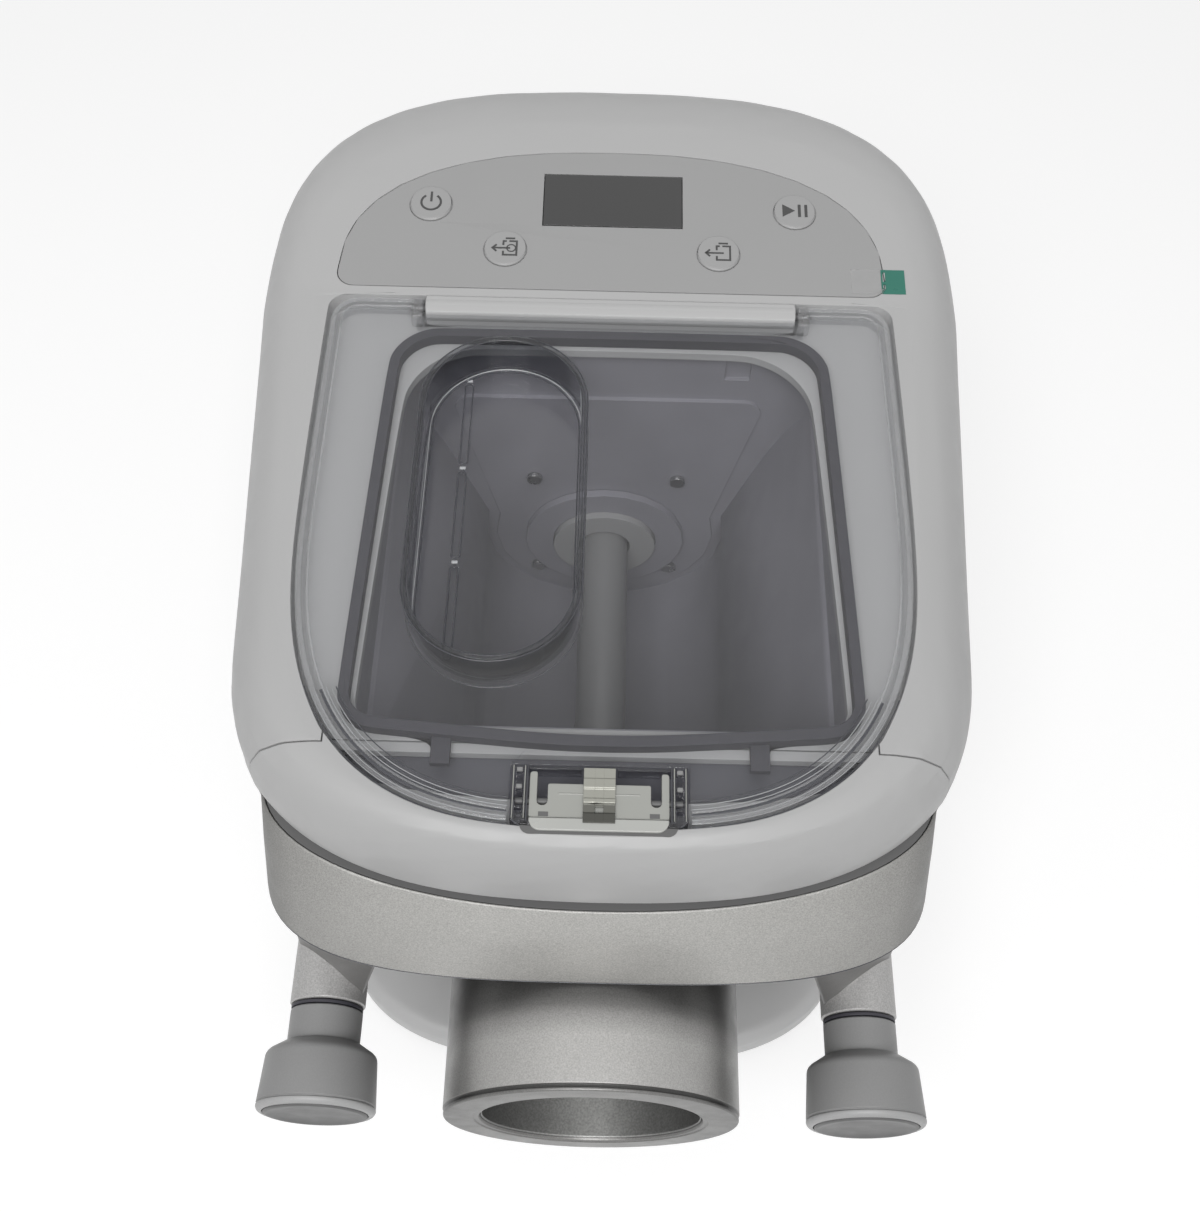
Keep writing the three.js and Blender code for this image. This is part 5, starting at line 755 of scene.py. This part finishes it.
BOX = [(1.2, 2.3), (3.6, 2.3), (3.6, -3.1), (-0.6, -3.1), (-0.6, -1.6)]
BOX_TOP = [(-0.6, 0.7), (-0.6, 2.3), (0.4, 2.3)]
ARROW = [(1.6, -0.4), (-4.0, -0.4)]
ARROW_HEAD = [(-2.7, 0.9), (-4.0, -0.4), (-2.7, -1.7)]
SPOUT = [(0.0, 3.4), (3.0, 3.4)]
SYMBOLS = {
    "power": [stroke(arc(0, 0, 3.1, math.radians(125), math.radians(415), 36), LINE + 0.1),
              stroke([(0, 0.2), (0, 4.2)], LINE + 0.1)],
    "play_pause": [prism([(-3.9, -2.5), (0.1, 0), (-3.9, 2.5)], 0, INK_HEIGHT),
                   stroke([(1.5, -2.5), (1.5, 2.5)], 0.95), stroke([(3.6, -2.5), (3.6, 2.5)], 0.95)],
    "automatic": [stroke(part, LINE) for part in (BOX, BOX_TOP, ARROW, ARROW_HEAD, SPOUT)]
                 + [stroke(ring(1.9, -0.4, 1.35), 0.4, True)],
    "extrude": [stroke(part, LINE) for part in (BOX, BOX_TOP, ARROW, ARROW_HEAD, SPOUT)],
}


def put_symbols():
    for name, parts in SYMBOLS.items():
        body = BODY[f"{name}_button"]
        low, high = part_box(f"{name}_button")
        x, y = ((low[i] + high[i]) / 2 / MM for i in (0, 1))
        top = top_at(surface_of(f"{name}_button"), x, y).z / MM
        solid(f"{name}_symbol", *tilted(merged(*parts), x, y, top + SYMBOL_LIFT), ink, body)
        disc = prism(ring(0, 0, DISC_RADIUS, DISC_STEPS), 0, DISC_HEIGHT)
        solid(f"{name}_disc", *tilted(disc, x, y, top), button, body, bevel=0.12)
        around = [(px, py, 0) for px, py in ring(0, 0, MEMBRANE_RADIUS, DISC_STEPS)]
        deck_z = LID_PLANE_Z + (y - DECK_START_Y) * math.tan(DECK_SLOPE)
        membrane = tilted(swept(around, MEMBRANE_SECTION), x, y, deck_z)
        solid(f"{name}_membrane", *membrane, panel, "machine")


# Film over the panel, with a green tab to pull it by: its steps run in x, its rows back from its front edge
FILM_CLEAR_X, FILM_TAB_X = (74.6, 84), (84, 91.4)
FILM_FRONT_Y, FILM_LENGTH = DECK_START_Y + 4.6, 9.2
FILM_LIFT, FILM_THICKNESS = 0.06, 0.14
FILM_STEPS, FILM_ROWS = 16, 12


def film_pieces():
    ground = [surface_of(name) for name in ("rear_housing", "control_panel")]
    steps, rows, line = FILM_STEPS, FILM_ROWS, FILM_ROWS + 1
    size = (steps + 1) * line
    rim = ([i * line for i in range(steps + 1)] + [steps * line + j for j in range(1, line)]
           + [i * line + rows for i in range(steps - 1, -1, -1)] + list(range(rows - 1, 0, -1)))
    faces = [(a, a + 1, a + line + 1, a + line) for side in (0, size) for i in range(steps)
             for a in range(side + i * line, side + i * line + rows)]
    faces += [(a, b, size + b, size + a) for a, b in zip(rim, rim[1:] + rim[:1])]

    def lying(x, y, lift):
        hits = [top_at(surface, x, y) for surface in ground]
        return (x, y, max(hit.z for hit in hits if hit) / MM + lift)

    for name, (left, right), material, replaced in (("film_clear", FILM_CLEAR_X, filmclear, ()),
                                                    ("film_tab", FILM_TAB_X, film, ("film_pull_tab",))):
        points = [lying(left + (right - left) * i / steps, FILM_FRONT_Y + FILM_LENGTH * j / rows, lift)
                  for lift in (FILM_LIFT, FILM_LIFT + FILM_THICKNESS) for i in range(steps + 1)
                  for j in range(line)]
        solid(name, points, faces, material, BODY["film_pull_tab"], replaced)


# Lid details: beads round the rim, fine lines of painted shade and painted highlight and a dark line of
# painted shade for a groove round its front, the trough's lip and wall with lines of painted shade and
# painted highlight on its edges and grooves, the top of the hinge bar, and the hinge tabs. A rim line has a
# distance out from the lid's outline, a width and a height
RIM_BEADS = ((-1.5, 1.7, 0.8), (-3.9, 0.7, 0.35))
# the dark rim lines and the groove line are painted shade, and the light rim lines are painted highlights
RIM_DARK, RIM_DARK_SIZE = (0.1, -6.9), (0.3, 0.3)
RIM_GROOVE, RIM_GROOVE_SIZE = (-3.3,), (0.8, 0.25)
RIM_HIGHLIGHT, RIM_HIGHLIGHT_SIZE = (-0.9, -1.9, -4.7, -5.8), (0.22, 0.35)
LINES_BACK_Y = -76
LATCH_GAP, HINGE_GAP = 0.8, 3.4
# The trough's dark edge lines of painted shade, as (inset, z, width, height)
TROUGH_EDGES = ((0, LID_PLANE_Z - 0.1, 0.4, 0.4), (1.7, LID_PLANE_Z - 0.1, 0.35, 0.35),
                (0, TROUGH_FLOOR_Z - 1.4, 0.45, 0.45), (2.6, TROUGH_FLOOR_Z + 0.2, 0.4, 0.3))
WALL_INSET, WALL_HALF, WALL_HEIGHT = 0.8, 0.15, 12.4
GROOVE_HALF, GROOVE_START_Y, GROOVE_END_Y = 1.2, TROUGH_FRONT_Y + 7.8, TROUGH_FRONT_Y + 5.6
GROOVE_LENGTH, GROOVE_END_Z = GROOVE_SPACING - 3, (TROUGH_FLOOR_Z - 0.1, TROUGH_FLOOR_Z + 0.3)
HINGE_BAR = ((-3.6, 247.6), (-3.65, 250.1), (-3.35, 250.6), (-1.5, 251.3), (1.9, 251.62), (2.4, 251.25),
             (3.3, 249.8), (3.55, 247.6))
HINGE_TAB_X, HINGE_TAB_Y, HINGE_TAB_Z = (57.4, 61), (50.4, 58.3), (245.2, 250.7)


def lid_halves(offset, z):
    """The lid's outline in two halves, left out at the hinge and at the latch."""
    half = LID_HALF_WIDTH + offset
    corner = LID_CORNER + offset
    start = LATCH_HALF_WIDTH + LATCH_GAP
    front = super_arc(LID_CURVE_Y, half, LID_FRONT_REACH + offset, LID_POWER, 1.5 * math.pi, 2 * math.pi)
    right = front + arc(half - corner, LID_BACK_Y + offset - corner, corner, 0, math.pi / 2)
    right = [(x, y) for x, y in right if x > start]
    right = [(start, right[0][1]), *right, (HINGE_HALF_SPAN + HINGE_GAP, LID_BACK_Y + offset)]
    left = [(-x, y) for x, y in reversed(right)]
    return [[(x, y, z) for x, y in side] for side in (right, left)]


def front_lines(distances, size):
    """Lines along the front part of the lid's rim."""
    lines = []
    for distance in distances:
        for half in lid_halves(distance, LID_PLANE_Z - 0.1):
            run = [place for place in half if place[1] < LINES_BACK_Y]
            lines.append(swept(run, round_section(*size), closed=False))
    return merged(*lines)


def trough_line(inset, z, width, height):
    return swept([(x, y, z) for x, y in stadium(inset)], round_section(width, height))


def trough_details():
    solid("trough_lip", *trough_line(0.9, LID_PLANE_Z + 0.1, 1.5, 0.7), smoke, "lid")
    # dark edge lines of painted shade and a light line of painted highlight on the trough, and the same on
    # its grooves
    solid("trough_edge_shade_lines", *merged(*[trough_line(*edge) for edge in TROUGH_EDGES]), painted_dark_lines, "lid")
    solid("trough_edge_highlight", *trough_line(1.9, TROUGH_FLOOR_Z + 0.5, 0.3, 0.3), painted_light_lines, "lid")
    lines = []
    for k in range(GROOVE_COUNT):
        low = GROOVE_START_Y + GROOVE_SPACING * k
        left, right = GROOVE_X - GROOVE_HALF, GROOVE_X + GROOVE_HALF
        slot = rounded([(right, low, 1), (right, low + GROOVE_LENGTH, 1), (left, low + GROOVE_LENGTH, 1),
                        (left, low, 1)], 5)
        lines.append(swept([(x, y, TROUGH_FLOOR_Z) for x, y in slot], round_section(0.35, 0.3)))
    solid("trough_groove_shade_lines", *merged(*lines), painted_dark_lines, "lid")
    ends = []
    for k in range(1, GROOVE_COUNT + 1):
        low = GROOVE_END_Y + GROOVE_SPACING * k
        ends.append(box(GROOVE_X - 0.9, GROOVE_X + 0.9, low, low + 1, *GROOVE_END_Z))
    solid("trough_groove_end_highlights", *merged(*ends), painted_light_lines, "lid", bevel=0.15)
    section = [(-WALL_HALF, 0), (WALL_HALF, 0), (WALL_HALF, WALL_HEIGHT), (-WALL_HALF, WALL_HEIGHT)]
    wall = swept([(x, y, TROUGH_FLOOR_Z + 0.8) for x, y in stadium(WALL_INSET)], section)
    solid("trough_wall", *wall, smoke, "lid")


def lid_details():
    beads = [swept(half, round_section(width, height), closed=False)
             for offset, width, height in RIM_BEADS for half in lid_halves(offset, LID_PLANE_Z)]
    solid("lid_rim_bead", *merged(*beads), bead, "lid")
    # dark lines of painted shade and light lines of painted highlight along the rim's front
    solid("lid_rim_shade_lines", *front_lines(RIM_DARK, RIM_DARK_SIZE), painted_dark_lines, "lid")
    solid("lid_rim_painted_groove_shade", *front_lines(RIM_GROOVE, RIM_GROOVE_SIZE), painted_dark_lines, "lid")
    solid("lid_rim_highlights", *front_lines(RIM_HIGHLIGHT, RIM_HIGHLIGHT_SIZE), painted_light_lines, "lid")
    trough_details()
    points = [(x, HINGE_Y + y, z) for x in (-HINGE_BAR_HALF, HINGE_BAR_HALF) for y, z in HINGE_BAR]
    size = len(HINGE_BAR)
    faces = [(k, (k + 1) % size, size + (k + 1) % size, size + k) for k in range(size)]
    faces += [tuple(range(size)), tuple(range(size, 2 * size))]
    solid("hinge_bar_top", points, faces, housing, "machine", bevel=0.15)
    for side, name in ((-1, "left"), (1, "right")):
        ends = sorted(side * x for x in HINGE_TAB_X)
        solid(f"hinge_tab_{name}", *box(*ends, *HINGE_TAB_Y, *HINGE_TAB_Z), bead, "lid", bevel=0.9, steps=3)


# Latch: a clear frame with hollow side bars, a pale plate with two slots, a lip over a dark piece of painted
# shade, and a bent steel clip. Pairs in x are for the right side, and the left side mirrors them
FRAME_WALLS, FRAME_WALL_Z = ((18.3, 19.2), (21.1, 22.2)), (245, 250.8)
FRAME_CAVITY, FRAME_FLOOR_Z, FRAME_RIB_Z = (19.2, 21.1), (246.4, 247.2), (247.2, 250.2)
FRAME_INNER, FRAME_FRONT_Z, FRAME_BACK_Z = 18.3, (245.4, 250.6), (245.4, 250.2)
CLIP_OPENING = 4.6
SLOT_IN, SLOT_OUT, PLATE_HALF = 12.9, 15.6, 17.5
LIP_HALF, LIP_REACH, LIP_TOP = 17.4, 1.3, 0.78
HOOK_HALF, HOOK_BOTTOM_Z, BARB_TOP_Z = 10, 237.4, 239.2
SHADE_HALF, SHADE_REACH, SHADE_BACK_HALF = 19.6, 2.1, 17.55
EDGE_X, EDGE_Z = (18.7, 21.6), 250.95
PAD_X, PAD_Z = (19.4, 20.9), (249.6, 250.5)
NOTCH_X, NOTCH_Z = (12.6, 15.1), (249, LID_PLANE_Z - 0.02)
LINE_INNER, LINE_RISE = 18.1, 0.55
# The clip's underside, as (distance in front of the frame's back, rise over the lid), and its strips in x
CLIP_LINE = ((0.5, 0.3), (3.2, 0.3), (3.6, 0.75), (5.9, 0.75), (6.3, 0.35), (8.6, 0.35), (9, 0.95),
             (10, 0.95), (10.4, 0.4), (11, 0.4), (12.5, 0.4), (12.9, 0.75), (15.3, 0.8))
CLIP_THICKNESS, CLIP_STRIPS, CLIP_TONGUE, CLIP_SPLIT = 0.45, ((-4, -1.1), (1.1, 4)), (-1.1, 1.1), 10


def mirrored(side, pair):
    return sorted(side * x for x in pair)


def both_sides(right):
    """A closed outline's corners from those on its right."""
    return right + [(-x, y, r) for x, y, r in reversed(right)]


def latch_frame(front, back):
    half, inner = LATCH_HALF_WIDTH, FRAME_INNER
    parts = []
    for side in (-1, 1):
        for wall in FRAME_WALLS:
            parts.append(box(*mirrored(side, wall), front + 1.2, back, *FRAME_WALL_Z))
        cavity = mirrored(side, FRAME_CAVITY)
        parts.append(box(*cavity, front + 1.2, back, *FRAME_FLOOR_Z))
        for y in (front + 4.5, front + 10.2, back - 1.2):
            parts.append(box(*cavity, y, y + 0.9, *FRAME_RIB_Z))
    outline = rounded([
        (-half, front + 3.2, 0), (-half, front, 2.6), (half, front, 2.6), (half, front + 3.2, 0),
        (inner, front + 3.2, 0), (inner, front + 0.9, 1.4), (-inner, front + 0.9, 1.4),
        (-inner, front + 3.2, 0),
    ], 6)
    parts.append(prism(outline, *FRAME_FRONT_Z))
    for ends in ((-inner, -CLIP_OPENING), (CLIP_OPENING, inner)):
        parts.append(box(*ends, back - 0.9, back, *FRAME_BACK_Z))
    solid("latch_surround", *merged(*parts), latchclear, "lid", ("latch_frame",), bevel=0.22)


def latch_lever(front, back):
    body = BODY["latch_lever"]
    slot_end = front + 5.6
    corners = both_sides([
        (PLATE_HALF, front + 2.35, 0.6), (PLATE_HALF, back - 1.4, 0.8), (SLOT_OUT, back - 1.4, 0.5),
        (SLOT_OUT, slot_end, 1.2), (SLOT_IN, slot_end, 1.2), (SLOT_IN, back - 4.6, 0.5),
    ])
    parts = [
        prism(rounded(corners, 5), LID_PLANE_Z - 2.4, LID_PLANE_Z - 0.1),
        box(-16.5, 16.5, front + 1.4, front + 2.85, LID_PLANE_Z - 2.0, LID_PLANE_Z - 1.2),
        box(-10.2, 10.2, front + 8.6, front + 8.9, LID_PLANE_Z - 0.2, LID_PLANE_Z),
        box(-HOOK_HALF, HOOK_HALF, front + 1.9, front + 4.0, HOOK_BOTTOM_Z, LID_PLANE_Z - 2.3),
        box(-HOOK_HALF, HOOK_HALF, front + 4.0, front + 5.4, HOOK_BOTTOM_Z, BARB_TOP_Z),
    ]
    solid("latch_plate", *merged(*parts), latchpale, body, ("latch_lever",), bevel=0.25)
    lip = rounded([(-LIP_HALF, front + 2.0, 0.3), (-LIP_HALF, front - LIP_REACH, 2.9),
                   (LIP_HALF, front - LIP_REACH, 2.9), (LIP_HALF, front + 2.0, 0.3)], 6)
    solid("latch_lip", *prism(lip, LID_PLANE_Z - 0.6, LID_PLANE_Z + LIP_TOP), liplight, body, bevel=0.3)
    # a dark piece of painted shade round the lip's corners
    under = rounded(both_sides([
        (SHADE_HALF, front - SHADE_REACH, 2.4), (SHADE_HALF, front + 0.5, 0.4),
        (SHADE_BACK_HALF, front + 0.5, 0), (SHADE_BACK_HALF, front + 1.8, 0.3),
    ]), 6)
    shade = prism(under, LID_PLANE_Z - 1, LID_PLANE_Z + 0.15)
    solid("latch_corner_shade", *shade, pin_grey_and_shade, body, bevel=0.2)


def latch_marks(front, back):
    """The fine lines of painted highlight and painted shade, pads of painted highlight on the ribs, and notch
    marks of painted shade on the frame and the plate.
    """
    pads, edges, notches, lines = [], [], [], []
    for side in (-1, 1):
        for x in EDGE_X:
            edges.append(swept([(side * x, front + 1.6, EDGE_Z), (side * x, back - 0.3, EDGE_Z)],
                               round_section(0.28, 0.25), closed=False))
        for y in (back - 1.6, back - 6.2):
            pads.append(box(*mirrored(side, PAD_X), y, y + 1.1, *PAD_Z))
        notches.append(box(*mirrored(side, NOTCH_X), front + 2.6, front + 3.8, *NOTCH_Z))
    # light lines of painted highlight along the frame's bars
    solid("latch_edge_highlights", *merged(*edges), latchpale, "lid")
    # pads of painted highlight on the frame's ribs
    solid("latch_rib_highlights", *merged(*pads), rib_highlight_grey, "lid", bevel=0.2)
    # dark notch marks of painted shade on the plate
    solid("latch_painted_notch_shade", *merged(*notches), pin_grey_and_shade, BODY["latch_lever"])
    corner = arc(LATCH_HALF_WIDTH - 2.8, front + 2.8, 2.6, 1.6 * math.pi, 2 * math.pi)
    outer = [(LATCH_HALF_WIDTH - 0.2, back), *reversed(corner)]
    for run in (outer, [(LINE_INNER, back), (LINE_INNER, front + 1)]):
        for side in (-1, 1):
            path = [(side * x, y, LID_PLANE_Z + LINE_RISE) for x, y in run]
            lines.append(swept(path, round_section(0.4, 0.35), closed=False))
    # dark lines of painted shade along the frame's edges
    solid("latch_shade_lines", *merged(*lines), painted_dark_lines, "lid")


def strip(line, left, right):
    """A bent strip between two x places, as thick as the clip, over a line of (y, z) points."""
    count = len(line)
    size = 2 * count
    section = [(y, z + CLIP_THICKNESS) for y, z in line] + line
    points = [(x, y, z) for x in (left, right) for y, z in section]
    faces = []
    for k in range(count - 1):
        for low in (k, count + k):
            faces.append((low, low + 1, size + low + 1, size + low))
        for side in (0, size):
            faces.append((side + k, side + k + 1, side + count + k + 1, side + count + k))
    for k in (0, count - 1):
        faces.append((k, count + k, size + count + k, size + k))
    return points, faces


def latch_clip(back):
    line = [(back - before, LID_PLANE_Z + rise) for before, rise in CLIP_LINE]
    strips = [strip(line, *ends) for ends in CLIP_STRIPS]
    strips += [strip(part, *CLIP_TONGUE) for part in (line[:CLIP_SPLIT], line[CLIP_SPLIT:])]
    solid("latch_spring_clip", *merged(*strips), clipsteel, BODY["latch_clip"], ("latch_clip",), bevel=0.1)


BODY = {name: obj["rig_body"] for name, obj in NODES.items()}
for side, x in (("left", -KNOB_X), ("right", KNOB_X)):
    knob(side, x)
front_cover()
put_symbols()
film_pieces()
lid_details()
latch_frame(LATCH_FRONT_Y, LATCH_BACK_Y)
latch_lever(LATCH_FRONT_Y, LATCH_BACK_Y)
latch_marks(LATCH_FRONT_Y, LATCH_BACK_Y)
latch_clip(LATCH_BACK_Y)

# Camera: the focal length and the frame's height are in the photo's pixels, and the sensor is in millimetres

FOCAL, HEIGHT, SENSOR = 1412, 1212, 36
ELEVATION, ROLL = math.radians(59.6), math.radians(1.4)
CAMERA_AT = Vector((-1.0, -242.29, 577.76)) * MM


def make_camera():
    data = bpy.data.cameras.new("photo_camera")
    data.sensor_fit = "VERTICAL"
    data.sensor_width = data.sensor_height = SENSOR
    data.lens = SENSOR * FOCAL / HEIGHT
    data.clip_start, data.clip_end = 0.01, 10
    camera = bpy.data.objects.new("photo_camera", data)
    bpy.context.scene.collection.objects.link(camera)
    forward = Vector((0, math.cos(ELEVATION), -math.sin(ELEVATION)))
    up = Vector((0, math.sin(ELEVATION), math.cos(ELEVATION)))
    right = Vector((1, 0, 0))
    rolled_right = right * math.cos(ROLL) + up * math.sin(ROLL)
    rolled_up = up * math.cos(ROLL) - right * math.sin(ROLL)
    turn = Matrix((rolled_right, rolled_up, -forward)).transposed().to_4x4()
    camera.matrix_world = Matrix.Translation(CAMERA_AT) @ turn
    bpy.context.scene.camera = camera


make_camera()

# Floor, world and lamps

FLOOR_HALF = 4.0
FLOOR_COLOR, FLOOR_GLOW = (0.62, 0.62, 0.62, 1), 0.5
WHITE = (1, 1, 1, 1)
WORLD_LOW, WORLD_HIGH = 0.22, 0.5


def seen_directly(n):
    """1 for camera, glossy and transmission rays, and 0 for the rays that light the object."""
    seen = n.add("ShaderNodeLightPath").outputs
    return n.math("MAXIMUM", n.math("MAXIMUM", seen["Is Camera Ray"], seen["Is Glossy Ray"]),
                  seen["Is Transmission Ray"])


def make_floor():
    mesh = bpy.data.meshes.new("floor")
    h = FLOOR_HALF
    mesh.from_pydata([(-h, -h, 0), (h, -h, 0), (h, h, 0), (-h, h, 0)], [], [(0, 1, 2, 3)])
    floor = bpy.data.objects.new("floor", mesh)
    bpy.context.scene.collection.objects.link(floor)
    n = Nodes(bpy.data.materials.new("floor_white"))
    diffuse = n.add("ShaderNodeBsdfDiffuse", {"Color": FLOOR_COLOR})
    glow = n.add("ShaderNodeEmission", {"Strength": n.math("MULTIPLY", seen_directly(n), FLOOR_GLOW)})
    both = n.add("ShaderNodeAddShader", {0: diffuse.outputs[0], 1: glow.outputs[0]})
    mesh.materials.append(n.finish(both))


def make_world():
    world = bpy.data.worlds.new("studio")
    bpy.context.scene.world = world
    n = Nodes(world, "ShaderNodeOutputWorld")
    way = n.add("ShaderNodeSeparateXYZ", {0: n.add("ShaderNodeTexCoord").outputs["Generated"]})
    rise = n.span(way.outputs["Z"], WORLD_LOW, WORLD_HIGH, 0, 1)
    light = n.add("ShaderNodeBackground", {"Color": WHITE, "Strength": rise})
    plain = n.add("ShaderNodeBackground", {"Color": WHITE, "Strength": 1})
    n.finish(n.mixed(seen_directly(n), light, plain))


def add_lamp(name, place, target, size, watts):
    data = bpy.data.lights.new(name, "AREA")
    data.shape = "RECTANGLE"
    data.size, data.size_y = size
    data.energy = watts
    lamp = bpy.data.objects.new(name, data)
    bpy.context.scene.collection.objects.link(lamp)
    lamp.location = place
    lamp.rotation_mode = "QUATERNION"
    lamp.rotation_quaternion = (Vector(target) - Vector(place)).to_track_quat("-Z", "Y")


make_floor()
make_world()
add_lamp("key", (-0.1, -0.85, 1.4), (0, 0, 0.2), (0.9, 0.7), 15)

bpy.context.scene.view_settings.view_transform = "Standard"
